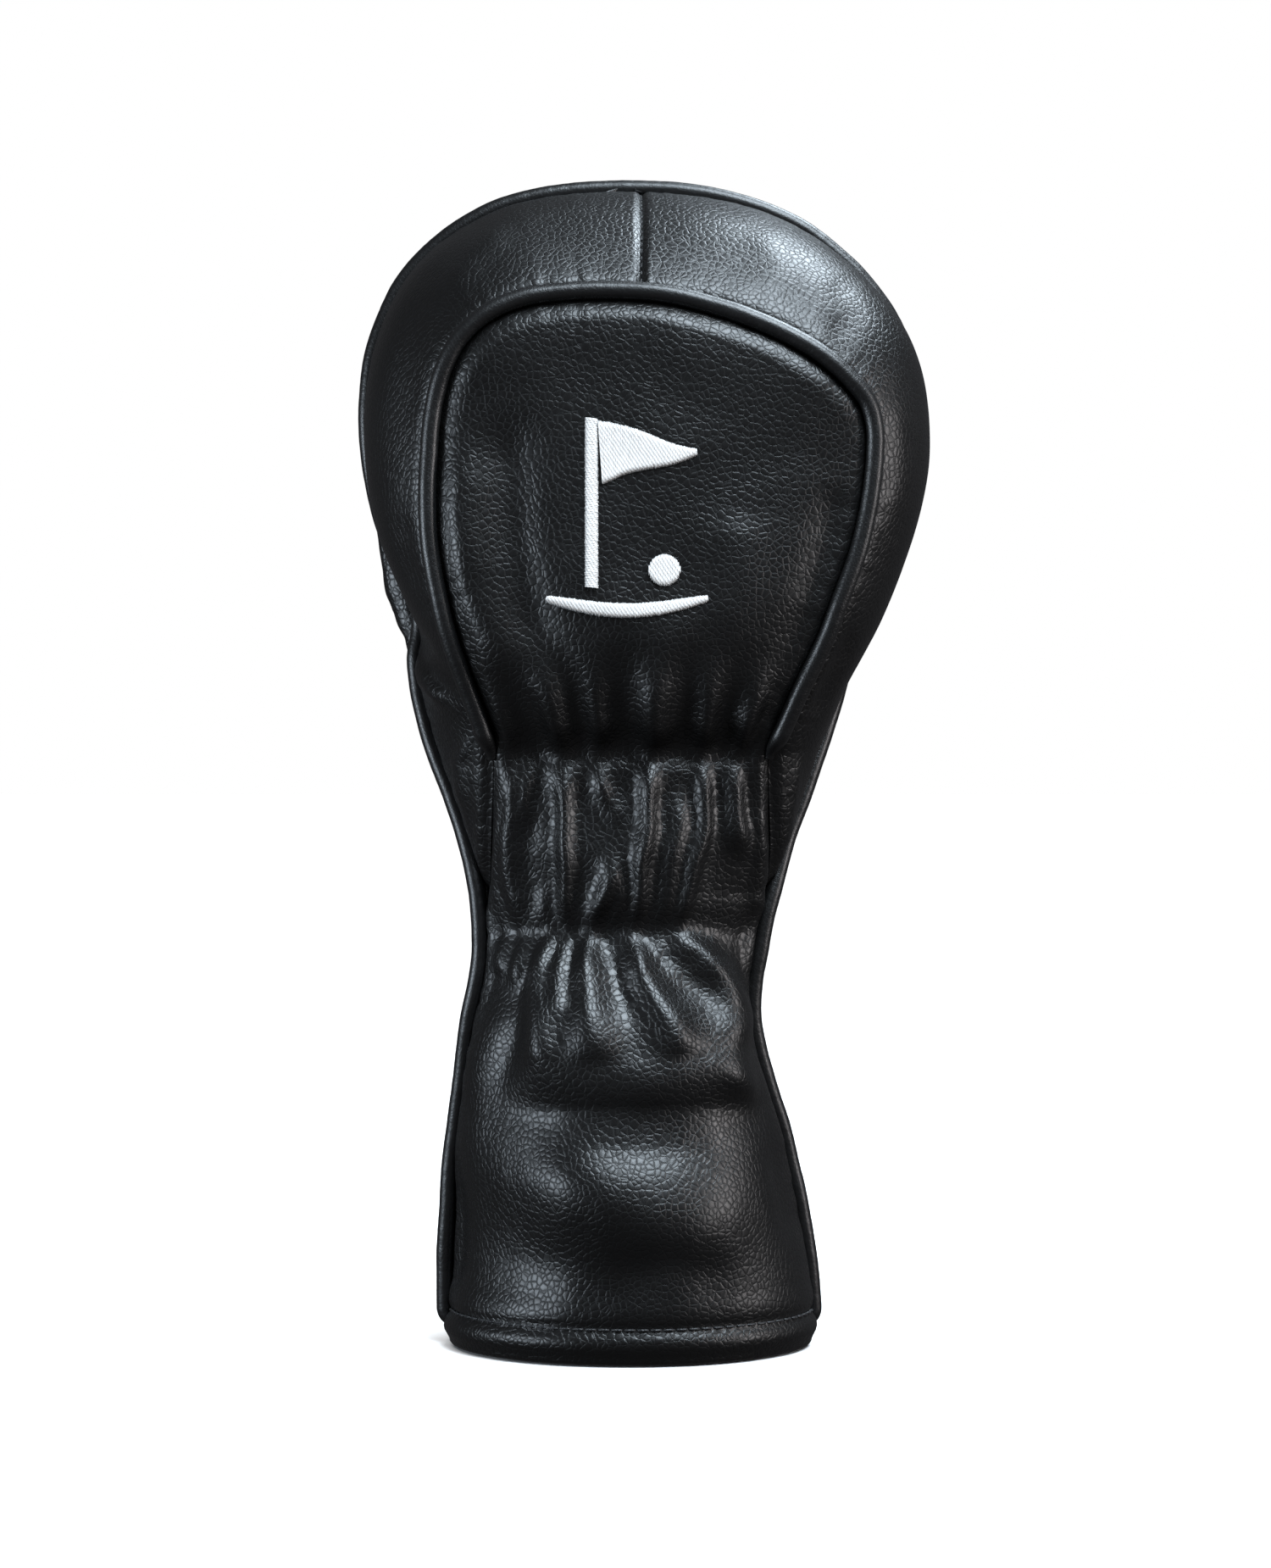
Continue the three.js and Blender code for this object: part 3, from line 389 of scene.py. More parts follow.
def leather(name, base, rough, grain_mm, depth, coat=0.15, wrinkle=0.0):
    m = bpy.data.materials.new(name)
    nt, b = nodes_of(m)
    co = N(nt, "ShaderNodeTexCoord").outputs["Object"]
    # grain: rounded pebbles with fine creases between them, a little stretched and warped
    warp = N(nt, "ShaderNodeTexNoise", i_Scale=220.0, i_Detail=2.0)
    nt.links.new(co, warp.inputs["Vector"])
    add = N(nt, "ShaderNodeVectorMath", operation="MULTIPLY_ADD")
    nt.links.new(warp.outputs["Color"], add.inputs[0])
    add.inputs[1].default_value = (0.0005, 0.0005, 0.0005)
    nt.links.new(co, add.inputs[2])
    v1 = N(nt, "ShaderNodeTexVoronoi", feature="DISTANCE_TO_EDGE", i_Scale=1000.0 / grain_mm)
    nt.links.new(add.outputs[0], v1.inputs["Vector"])
    v2 = N(nt, "ShaderNodeTexVoronoi", feature="F1", i_Scale=1000.0 / grain_mm)
    nt.links.new(add.outputs[0], v2.inputs["Vector"])
    fine = N(nt, "ShaderNodeTexNoise", i_Scale=2600.0, i_Detail=3.0, i_Roughness=0.6)
    nt.links.new(co, fine.inputs["Vector"])
    edge = ramp(nt, v1.outputs["Distance"], [(0.0, 0.0), (0.05, 0.30), (0.14, 0.72), (0.26, 0.93), (0.42, 1.0)])
    dome = N(nt, "ShaderNodeMath", operation="MULTIPLY_ADD")
    nt.links.new(v2.outputs["Distance"], dome.inputs[0])
    dome.inputs[1].default_value = -0.35
    dome.inputs[2].default_value = 0.4
    h = N(nt, "ShaderNodeMath", operation="ADD")
    nt.links.new(edge, h.inputs[0])
    nt.links.new(dome.outputs[0], h.inputs[1])
    h2 = N(nt, "ShaderNodeMath", operation="MULTIPLY_ADD")
    nt.links.new(fine.outputs["Fac"], h2.inputs[0])
    h2.inputs[1].default_value = 0.05
    nt.links.new(h.outputs[0], h2.inputs[2])
    bump = N(nt, "ShaderNodeBump", i_Strength=1.0, i_Distance=depth / 1000)
    nt.links.new(h2.outputs[0], bump.inputs["Height"])
    last = bump
    # slow soft unevenness of the hide
    slow = N(nt, "ShaderNodeTexNoise", i_Scale=60.0, i_Detail=1.0, i_Roughness=0.4)
    nt.links.new(co, slow.inputs["Vector"])
    bump2 = N(nt, "ShaderNodeBump", i_Strength=0.5, i_Distance=0.0004)
    nt.links.new(slow.outputs["Fac"], bump2.inputs["Height"])
    nt.links.new(last.outputs[0], bump2.inputs["Normal"])
    last = bump2
    if wrinkle:
        wr = N(nt, "ShaderNodeTexNoise", i_Scale=520.0, i_Detail=3.0, i_Roughness=0.5)
        nt.links.new(co, wr.inputs["Vector"])
        bump3 = N(nt, "ShaderNodeBump", i_Strength=wrinkle, i_Distance=0.0003)
        nt.links.new(wr.outputs["Fac"], bump3.inputs["Height"])
        nt.links.new(last.outputs[0], bump3.inputs["Normal"])
        last = bump3
    nt.links.new(last.outputs[0], b.inputs["Normal"])
    # colour: painted shade in the grain's creases, which run darker than the pebble tops; slow tone drift
    patch = N(nt, "ShaderNodeTexNoise", i_Scale=26.0, i_Detail=5.0, i_Roughness=0.6)
    nt.links.new(co, patch.inputs["Vector"])
    c = np.array(base)
    crease_shade_col = mixcol(nt, edge, (*(c * 0.45), 1), (*(c * 1.15), 1))
    drift = ramp(nt, patch.outputs["Fac"], [(0.3, 0.8), (0.7, 1.25)])
    nt.links.new(mixcol(nt, 1.0, crease_shade_col, drift, "MULTIPLY"), b.inputs["Base Color"])
    rr = N(nt, "ShaderNodeMath", operation="MULTIPLY_ADD")
    nt.links.new(patch.outputs["Fac"], rr.inputs[0])
    rr.inputs[1].default_value = 0.16
    rr.inputs[2].default_value = rough - 0.08
    r2 = N(nt, "ShaderNodeMath", operation="MULTIPLY_ADD")
    nt.links.new(edge, r2.inputs[0])
    r2.inputs[1].default_value = -0.1
    nt.links.new(rr.outputs[0], r2.inputs[2])
    r3 = N(nt, "ShaderNodeMath", operation="ADD", use_clamp=True)
    nt.links.new(r2.outputs[0], r3.inputs[0])
    r3.inputs[1].default_value = 0.1
    nt.links.new(r3.outputs[0], b.inputs["Roughness"])
    b.inputs["Specular IOR Level"].default_value = 0.5
    b.inputs["Coat Weight"].default_value = coat
    b.inputs["Coat Roughness"].default_value = 0.35
    b.inputs["Sheen Weight"].default_value = 0.0
    b.inputs["Sheen Roughness"].default_value = 0.5
    return m


def thread(name, base, scale_mm, rough=0.55, sheen=0.4, strength=0.6):
    m = bpy.data.materials.new(name)
    nt, b = nodes_of(m)
    co = N(nt, "ShaderNodeTexCoord").outputs["Object"]
    mp = N(nt, "ShaderNodeMapping")
    mp.inputs["Rotation"].default_value = (0.5, 0.35, 0.6)
    nt.links.new(co, mp.inputs["Vector"])
    w = N(nt, "ShaderNodeTexWave", wave_type="BANDS", i_Scale=1000.0 / scale_mm / 6.283, i_Distortion=1.2, i_Detail=2.0)
    nt.links.new(mp.outputs[0], w.inputs["Vector"])
    n = N(nt, "ShaderNodeTexNoise", i_Scale=900.0, i_Detail=3.0)
    nt.links.new(co, n.inputs["Vector"])
    c = np.array(base)
    col = mixcol(nt, w.outputs["Fac"], (*(c * 0.72), 1), (*np.minimum(c * 1.08, 1), 1))
    dr = ramp(nt, n.outputs["Fac"], [(0.3, 0.86), (0.7, 1.0)])
    nt.links.new(mixcol(nt, 1.0, col, dr, "MULTIPLY"), b.inputs["Base Color"])
    bump = N(nt, "ShaderNodeBump", i_Strength=strength, i_Distance=0.00012)
    nt.links.new(w.outputs["Fac"], bump.inputs["Height"])
    nt.links.new(bump.outputs[0], b.inputs["Normal"])
    rr = ramp(nt, n.outputs["Fac"], [(0.2, rough - 0.08), (0.8, rough + 0.1)])
    nt.links.new(rr, b.inputs["Roughness"])
    b.inputs["Sheen Weight"].default_value = sheen
    b.inputs["Sheen Roughness"].default_value = 0.35
    return m


def fuzzy(name, base, scale_mm, depth, rough=0.95, cells=False, sheen=0.5):
    m = bpy.data.materials.new(name)
    nt, b = nodes_of(m)
    co = N(nt, "ShaderNodeTexCoord").outputs["Object"]
    n = N(nt, "ShaderNodeTexNoise", i_Scale=1000.0 / scale_mm, i_Detail=6.0, i_Roughness=0.7)
    nt.links.new(co, n.inputs["Vector"])
    if cells:
        v = N(nt, "ShaderNodeTexVoronoi", feature="F1", i_Scale=1000.0 / scale_mm)
        nt.links.new(co, v.inputs["Vector"])
        src = v.outputs["Distance"]
    else:
        src = n.outputs["Fac"]
    c = np.array(base)
    f = ramp(nt, src, [(0.2, 0.0), (0.75, 1.0)])
    nt.links.new(mixcol(nt, f, (*(c * 0.5), 1), (*np.minimum(c * 1.35, 1), 1)), b.inputs["Base Color"])
    bump = N(nt, "ShaderNodeBump", i_Strength=0.9, i_Distance=depth / 1000)
    nt.links.new(src, bump.inputs["Height"])
    nt.links.new(bump.outputs[0], b.inputs["Normal"])
    nt.links.new(ramp(nt, n.outputs["Fac"], [(0.2, rough - 0.1), (0.8, min(1.0, rough + 0.05))]), b.inputs["Roughness"])
    b.inputs["Sheen Weight"].default_value = sheen
    return m


M_LEATHER = leather("pebbled_leather", (0.0044, 0.0041, 0.0041), 0.325, 1.75, 0.086)
M_PIPING = leather("piping_leather", (0.0050, 0.0048, 0.0050), 0.34, 1.1, 0.03, coat=0.45, wrinkle=0.3)
M_WHITE = thread("white_embroidery", (0.80, 0.80, 0.79), 0.42, 0.5, 0.3)
M_DARK = thread("dark_thread", (0.022, 0.022, 0.024), 0.5, 0.42, 0.15)
M_CORD = thread("filler_cord", (0.60, 0.58, 0.53), 1.1, 0.8, 0.2, 1.0)
M_PLUSH = fuzzy("plush_pile", (0.030, 0.031, 0.034), 1.6, 0.9)
M_FOAM = fuzzy("open_foam", (0.19, 0.19, 0.20), 0.9, 0.3, cells=True, sheen=0.0)
M_WEB = thread("ribbed_elastic", (0.016, 0.016, 0.018), 1.0, 0.75, 0.3, 1.0)


# ------------------------------------------------------------------ the fold chart of the sole face
# Folds are listed on a flat chart of the front view. One chart unit is 0.243 mm at the middle of the cover; chart x grows to
# the right from 750 at the middle, chart y grows downwards from 925 at 159.7 mm above the foot.
UNIT, FAR, EYE_Z = 0.243, 1000.0, 159.7


def chart(P):
    s = UNIT * (FAR + P[..., 1] + 2.5) / FAR
    return 750 + (P[..., 0] + 2.43) / s, 925 - (P[..., 2] - EYE_Z) / s


def stroke(U, V, pts, amp, width, ends=(0.25, 0.25), sharp=2.0):
    p = np.array(pts, float)
    L = np.concatenate([[0], np.cumsum(np.linalg.norm(np.diff(p, axis=0), axis=1))])
    box = (U > p[:, 0].min() - 3.2 * width) & (U < p[:, 0].max() + 3.2 * width) & (V > p[:, 1].min() - 3.2 * width) & (V < p[:, 1].max() + 3.2 * width)
    out = np.zeros_like(U)
    if not box.any():
        return out
    u, v = U[box], V[box]
    best = np.full(u.shape, 1e9)
    par = np.zeros(u.shape)
    for k in range(len(p) - 1):
        d = p[k + 1] - p[k]
        t = np.clip(((u - p[k, 0]) * d[0] + (v - p[k, 1]) * d[1]) / max(d @ d, 1e-9), 0, 1)
        q = (u - p[k, 0] - d[0] * t) ** 2 + (v - p[k, 1] - d[1] * t) ** 2
        m = q < best
        best[m] = q[m]
        par[m] = (L[k] + t * np.linalg.norm(d))[m] / L[-1]
    f = np.exp(-(np.sqrt(best) / width) ** sharp)
    if ends[0] > 0:
        f = f * (0.15 + 0.85 * smooth(0, ends[0], par))
    if ends[1] > 0:
        f = f * (0.15 + 0.85 * smooth(0, ends[1], 1 - par))
    out[box] = amp * f
    return out


def blob(U, V, x, y, rx, ry, amp, turn=0.0):
    c, s = math.cos(turn), math.sin(turn)
    a, b = ((U - x) * c + (V - y) * s) / rx, (-(U - x) * s + (V - y) * c) / ry
    return amp * np.exp(-(a * a + b * b))


# Gathers: points, height mm, half width at the start and at the end. They stand on a floor that is pulled in at each row.
WAIST = [
    ([(603, 893), (601, 940), (597, 1000), (600, 1050), (612, 1098)], 2.9, 21, 13), ([(622, 893), (617, 940), (612, 990)], 2.6, 8, 7), ([(635, 1040), (638, 1070), (640, 1098)], 2.0, 7, 7),
    ([(665, 893), (664, 945), (664, 1000), (666, 1050), (668, 1098)], 3.4, 18, 8), ([(708, 893), (709, 925), (718, 968)], 2.8, 9, 8),
    ([(772, 893), (766, 940), (761, 1000), (757, 1050), (750, 1098)], 3.6, 18, 8.5), ([(712, 930), (724, 955), (732, 985)], 1.9, 13, 13),
    ([(800, 925), (802, 975), (796, 1015), (786, 1055), (778, 1098)], 1.7, 15, 12), ([(828, 893), (831, 930), (834, 968), (828, 1010), (812, 1050), (800, 1098)], 2.9, 12, 8.5),
    ([(873, 893), (867, 930), (872, 975), (884, 1018)], 2.7, 12, 13), ([(902, 935), (903, 970), (903, 1010), (899, 1098)], 1.6, 10, 10),
    ([(583, 935), (580, 965), (579, 1020), (584, 1098)], 1.4, 9, 9), ([(722, 1004), (722, 1035), (712, 1062), (694, 1098)], 3.6, 17, 9),
    ([(727, 1022), (732, 1058), (726, 1098)], 2.6, 11, 7)]
ABOVE = [
    ([(603, 893), (590, 850), (572, 800), (562, 760)], 3.2, 13, 19), ([(665, 893), (655, 850), (640, 800), (620, 745)], 3.6, 13, 21),
    ([(708, 893), (705, 850), (699, 800), (690, 750)], 3.2, 10, 17), ([(772, 893), (772, 850), (776, 800), (784, 740)], 4.4, 16, 27),
    ([(828, 893), (831, 850), (838, 800), (848, 755)], 3.6, 11, 19), ([(875, 893), (880, 855), (892, 805), (905, 770)], 3.4, 10, 17), ([(901, 893), (909, 860), (916, 835)], 2.2, 7, 9)]
BELOW = [
    ([(594, 1098), (585, 1125), (577, 1150)], 2.6, 8, 11), ([(620, 1098), (606, 1128), (596, 1162)], 2.8, 9, 12), ([(647, 1098), (634, 1135), (630, 1180), (640, 1262)], 4.0, 11, 26),
    ([(664, 1104), (657, 1150), (658, 1205)], 3.0, 9, 19), ([(694, 1098), (692, 1150), (706, 1258)], 4.1, 10, 30), ([(739, 1098), (758, 1150), (789, 1200), (800, 1250)], 4.1, 11, 30),
    ([(768, 1098), (784, 1122)], 2.4, 7, 9), ([(789, 1098), (828, 1123), (861, 1157), (872, 1195), (866, 1240)], 4.6, 12, 26), ([(832, 1098), (851, 1113)], 2.4, 7, 8), ([(893, 1098), (898, 1165)], 2.2, 7, 10)]
SOLE_SOFT = [  # slow shape of the padded sole face
    ([(542, 500), (544, 600), (551, 690), (588, 770), (630, 850)], 2.4, 27), ([(600, 470), (604, 560), (610, 650), (632, 740), (664, 830)], -2.0, 27),
    ([(990, 560), (978, 640), (950, 730), (915, 800)], -1.5, 22), ([(870, 600), (868, 700), (850, 780)], 1.1, 34), ([(700, 690), (735, 735), (790, 745), (850, 730)], 0.9, 26),
    ([(640, 540), (740, 520), (860, 540)], 0.4, 60)]
CUFF = [  # slow folds of the cuff
    ([(634, 1112), (619, 1165), (611, 1235), (590, 1278), (560, 1300)], -1.5, 20), ([(838, 1262), (862, 1280), (885, 1302)], 2.6, 15),
    ([(560, 1352), (640, 1388), (720, 1428), (800, 1468), (910, 1506)], 4.6, 62),
    ([(905, 1330), (925, 1400), (940, 1470)], -2.0, 18), ([(700, 1510), (790, 1492), (880, 1510)], -1.6, 26)]


def gathers(U, V, rows, low=0.3, rise=30.0, fade=0.0, power=3.0):
    """Ridges joined by a soft maximum. Each starts low at its row and swells within rise; fade is the share of its length over which it dies away."""
    acc = np.zeros_like(U)
    for pts, amp, w0, w1 in rows:
        p = np.array(pts, float)
        L = np.concatenate([[0], np.cumsum(np.linalg.norm(np.diff(p, axis=0), axis=1))])
        best = np.full(U.shape, 1e9)
        par = np.zeros(U.shape)
        for k in range(len(p) - 1):
            d = p[k + 1] - p[k]
            t = np.clip(((U - p[k, 0]) * d[0] + (V - p[k, 1]) * d[1]) / (d @ d), 0, 1)
            q = (U - p[k, 0] - d[0] * t) ** 2 + (V - p[k, 1] - d[1] * t) ** 2
            m = q < best
            best[m] = q[m]
            par[m] = (L[k] + t * np.linalg.norm(d))[m]
        wide = w1 + (w0 - w1) * (np.exp(-(par / 34.0) ** 2) if w0 > w1 else 1 - par / L[-1])
        f = np.exp(-best / wide ** 2)
        f = f * (low + (1 - low) * smooth(0, rise, par))
        f = f * (1 - smooth(L[-1] * (1 - fade), L[-1] * 1.0001, par)) if fade > 0 else f * (low + (1 - low) * smooth(0, rise, L[-1] - par))
        acc += (amp * f) ** power
    return acc ** (1 / power)


def soften(h, times):
    for _ in range(times):
        for ax in (0, 1):
            p = np.concatenate([np.take(h, [0], ax), h, np.take(h, [-1], ax)], ax)
            n = p.shape[ax]
            h = 0.25 * np.take(p, range(0, n - 2), ax) + 0.5 * np.take(p, range(1, n - 1), ax) + 0.25 * np.take(p, range(2, n), ax)
    return h


def face_relief(P):
    """Height in mm of the folds at points of the sole face."""
    U, V = chart(P)
    jig = noise(np.stack([U, V, 0 * U], -1), 46, 1) * 5
    jig2 = noise(np.stack([U, V, 0 * U], -1), 52, 2) * 6
    u, v = U + jig, V + jig2
    wave = 3.0 * noise(np.stack([U, 0 * U, 0 * U], -1), 44, 8)
    top_row, low_row = 893 + wave, 1098 + wave
    inside = smooth(-3, 3, V - top_row) * smooth(-3, 3, low_row - V)
    over = 1 - smooth(-3, 3, V - top_row)
    under = 1 - smooth(-3, 3, low_row - V)
    w = 1.15 * gathers(u, v, WAIST, low=0.03, rise=42.0, power=2.8) - 2.0 - 0.7 * smooth(0, 50, V - top_row) * smooth(0, 50, low_row - V)
    h = w * inside
    a = 1.25 * gathers(u, v, ABOVE, rise=38.0, fade=0.7) - 2.5 * (1 - smooth(0, 118, top_row - V))
    for pts, amp, width in SOLE_SOFT:
        a += stroke(U + 0.3 * jig, V, pts, amp, width, (0.2, 0.3)) * (1 - smooth(840, 885, V))
    h += a * over
    arc = V + 0.0021 * (U - 745) ** 2
    rim = 1 - 0.62 * smooth(1272, 1368, arc) - 0.38 * smooth(1390, 1500, V)
    c = 1.1 * gathers(u, v, BELOW, rise=40.0, fade=0.16) * (1 - smooth(1190, 1325, arc)) - 2.9 * (1 - smooth(56, 172, V - low_row)) - 0.8 * smooth(0, 30, V - low_row) * (1 - smooth(60, 140, V - low_row))
    for pts, amp, width in CUFF:
        c += stroke(U + 0.5 * jig, V + 0.4 * jig2, pts, amp, width, (0.38, 0.3), 1.9)
    k = smooth(1220, 1370, V)
    across_x = smooth(600 - 100 * k, 652 + 50 * k, U) * (1 - smooth(846 - 20 * k, 896 + 70 * k, U))
    c += (2.8 * np.clip((V - 1102) / 150, 0, 1) ** 0.9 + 5.6 * smooth(1172, 1282, arc)) * rim * across_x
    c -= 0.3 * np.exp(-((V - 1302) / 22.0) ** 2) * smooth(660, 720, U) * (1 - smooth(870, 915, U))
    c -= 4.4 * smooth(1270, 1450, V) * (1 - smooth(1480, 1580, V)) * (1 - smooth(570, 730, U))
    h += c * under
    # small puckers that start at each gathering row and die away from it
    ripple = noise(np.stack([U, V * 0.16, 0 * U], -1), 8.5, 3) + 0.6 * noise(np.stack([U, V * 0.2, 0 * U], -1), 5.0, 4)
    for row, up, down in ((893, 26, 20), (1098, 20, 30)):
        h += 0.22 * ripple * np.where(V < row, np.exp(-np.abs(V - row) / up), np.exp(-np.abs(V - row) / down))
    h -= 1.5 * np.exp(-((V - top_row) / 5.0) ** 2) + 1.5 * np.exp(-((V - low_row) / 5.0) ** 2)
    # lesser unevenness everywhere between
    mid = np.exp(-((V - 1000) / 130.0) ** 2)
    h += (0.35 + 0.2 * mid) * noise(np.stack([U, V * 0.45, 0 * U], -1), 30, 5) * smooth(700, 860, V) * (1 - 0.5 * smooth(1400, 1560, V))
    # the top of the padded face stands full under its piping
    h += 2.7 * (1 - smooth(385, 560, V))
    h += 0.5 * noise(np.stack([U, V, 0 * U], -1), 90, 6)
    return soften(h, 5)


def seam_shape(P, tree, line, deep, reach, pucker, step, seed):
    """The dip into a seam, and the small puckers that its stitches pull across it."""
    d, k = near(tree, P)
    s = k * (np.linalg.norm(np.diff(line, axis=0), axis=1).mean())
    dip = -deep * np.exp(-(d / reach) ** 2)
    ph = s / step * 2 * np.pi + 5 * noise(np.stack([s / 9, 0 * s, 0 * s + seed], -1), 1.0)
    amp = 0.6 + 0.8 * noise(np.stack([s, 0 * s, 0 * s + 3.7 * seed], -1), 24)
    return dip + pucker * amp * np.sin(ph) * np.exp(-np.abs(d - 3.0) / 5.0) * smooth(0.5, 2.5, d), d


crown_tree, sole_tree = tree_of(crown), tree_of(sole)


def hem_shape(P):
    z = P[..., 2]
    groove = -0.85 * np.exp(-((z - HEM_Z) / 1.2) ** 2)
    roll = 1.1 * np.exp(-((z - 6.0) / 3.0) ** 2) - 0.8 * np.exp(-((z - 1.7) / 1.6) ** 2) + 0.4 * np.exp(-((z - 14.5) / 3.2) ** 2)
    return groove + roll


def hem_rows(P, Nn, turn_r=1.75, up_to=10.6):
    """Adds the turned hem under the lowest row of a panel grid whose last row is at turn_r above the foot."""
    base, n = P[-1], Nn[-1].copy()
    n[:, 2] = 0
    n /= np.linalg.norm(n, axis=1, keepdims=True)
    rows, norms = [], []
    for ang in np.linspace(0, np.pi, 12)[1:]:
        r = base.copy()
        r += n * (turn_r * (math.cos(ang) - 1))
        r[:, 2] = turn_r - turn_r * math.sin(ang) + 0.02
        rows.append(r)
        q = n * math.cos(ang)
        q[:, 2] = -math.sin(ang)
        norms.append(q)
    for z in np.linspace(turn_r + 0.8, up_to, 8):
        r = rows[10].copy()
        r[:, 2] = z
        rows.append(r)
        norms.append(-n)
    return np.concatenate([P, np.array(rows)]), np.concatenate([Nn, np.array(norms)])


# ------------------------------------------------------------------ sole-side leather panel
def levels(z_top, z_low, rows, fine_top=True):
    v = np.linspace(0, 1, rows)
    g = np.sin(v * np.pi / 2) * 0.55 + v * 0.45
    return z_top - (z_top - z_low) * (1 - g)[::1]


top_z = sole[st, 2] - 0.02
zb = levels(top_z, 1.75, 312)[::-1]
ab = np.linspace(0, 1, 148)
ab = 0.35 * ab + 0.65 * (np.arccos(1 - 2 * ab) / np.pi)
back = back_surface(zb[:, None], ab[None, :])
nb = grid_normals(back, np.array([0, -1, 0.0]))
relief = face_relief(back)
sd, sdist = seam_shape(back, sole_tree, sole, 2.3, 2.7, 0.16, 8.0, 1)
cd, cdist = seam_shape(back, crown_tree, crown, 2.3, 2.7, 0.22, 9.0, 2)
edge_fade = smooth(0.5, 9, np.minimum(sdist, cdist))
tip_fade = smooth(0, 6, np.abs(back[..., 2] - 126) + 6)
nb0 = nb
pushed_in = np.minimum(relief * edge_fade, 0)


def inner_shift(P):
    """Moves points that lie under the sole-side leather in by as much as the leather above them is pushed in."""
    x, y, z = P[:, 0], P[:, 1], np.clip(P[:, 2], 1.8, top_z)
    lx, ly = back_edge("l", z)
    rx, ry = back_edge("r", z)
    q = np.clip((2 * x - lx - rx) / np.maximum(rx - lx, 1e-6), -1, 1)
    i = np.interp(np.arccos(-q) / np.pi, ab, np.arange(len(ab)))
    o = np.argsort(zb)
    j = np.interp(z, zb[o], np.arange(len(zb))[o])
    r = sample(pushed_in[..., None], j, i)[:, 0]
    share = smooth(-1, 4, ly + (ry - ly) * (q + 1) / 2 - y)
    return P + sample(nb0, j, i) * (r * share)[:, None]


back = back + nb * (relief * edge_fade + sd + cd + hem_shape(back))[..., None]
nb = grid_normals(back, np.array([0, -1, 0.0]))
back_h, nb_h = hem_rows(back, nb)
v, f = slab(back_h, nb_h, 1.35)
back_panel = make("back_panel_leather", v, f, M_LEATHER, ["back_panel"])


# ------------------------------------------------------------------ crown-side leather panel
def front_relief(P):
    x, y, z = P[..., 0], P[..., 1], P[..., 2]
    ang = np.arctan2(y, x + 5) * 42
    q = np.stack([ang, z * 0.22, 0 * z], -1)
    waist = np.exp(-((z - 143) / 34.0) ** 2)
    h = 2.6 * waist * noise(q, 11, 11) + 1.2 * waist * noise(q, 6, 12)
    h += 1.6 * np.exp(-((z - 178) / 22.0) ** 2) * noise(np.stack([ang, z * 0.35, 0 * z], -1), 15, 13)
    h += 2.6 * np.exp(-((z - 62) / 46.0) ** 2) * noise(np.stack([ang * 0.8 + z * 0.35, z * 0.8, 0 * z], -1), 30, 14)
    h += 1.3 * np.exp(-((z - 92) / 22.0) ** 2) * noise(np.stack([ang, z * 0.4, 0 * z], -1), 13, 15)
    h += 1.1 * noise(P, 60, 16) * smooth(150, 220, z) + 0.5 * noise(P, 26, 17)
    h -= 1.2 * np.exp(-((z - 119) / 5.0) ** 2) + 0.7 * np.exp(-((z - 167) / 6.0) ** 2)
    lim = 2.2 - 1.3 * smooth(172, 186, z)
    return np.where(h < 0, -lim * np.tanh(-h / lim), h)


zf = levels(crown[ct, 2] - 0.02, 1.75, 312)[::-1]
af = np.linspace(0, 1, 148)
af = 0.4 * af + 0.6 * (np.arccos(1 - 2 * af) / np.pi)
front = front_surface(zf[:, None], af[None, :])
nf = grid_normals(front, np.array([0, 1, 0.0]))
cd, cdist = seam_shape(front, crown_tree, crown, 2.3, 2.7, 0.34, 9.0, 3)
front = front + nf * (front_relief(front) * smooth(0.5, 14, cdist) + cd + hem_shape(front))[..., None]
nf = grid_normals(front, np.array([0, 1, 0.0]))
front_h, nf_h = hem_rows(front, nf)
v, f = slab(front_h, nf_h, 1.35)
make("front_panel_leather", v, f, M_LEATHER, ["front_panel"])


# ------------------------------------------------------------------ gussets
GUSSET_FOLDS = {
    "l": [([(474, 753), (479, 764), (491, 788), (503, 806), (518, 823), (532, 838)], 1.7, 9), ([(487, 742), (500, 772), (516, 800), (536, 822)], -1.9, 8),
          ([(560, 860), (540, 900), (545, 960)], 0.9, 8), ([(470, 600), (478, 660), (496, 700)], -0.8, 12), ([(500, 330), (480, 420), (470, 520)], -0.9, 16),
          ([(610, 262), (560, 300), (520, 352)], 1.0, 16), ([(556, 930), (560, 1000), (566, 1050)], -0.8, 6)],
    "r": [([(900, 262), (915, 310), (912, 360)], 0.6, 24), ([(985, 320), (1000, 370), (985, 410)], -0.7, 18),
          ([(1060, 450), (1062, 560), (1045, 640)], 0.8, 16), ([(1010, 735), (985, 790), (958, 850)], -1.3, 9), ([(1000, 700), (972, 762), (950, 820)], 0.9, 8),
          ([(945, 880), (932, 960), (922, 1030)], 0.9, 7)]}
gusset_grids = {}
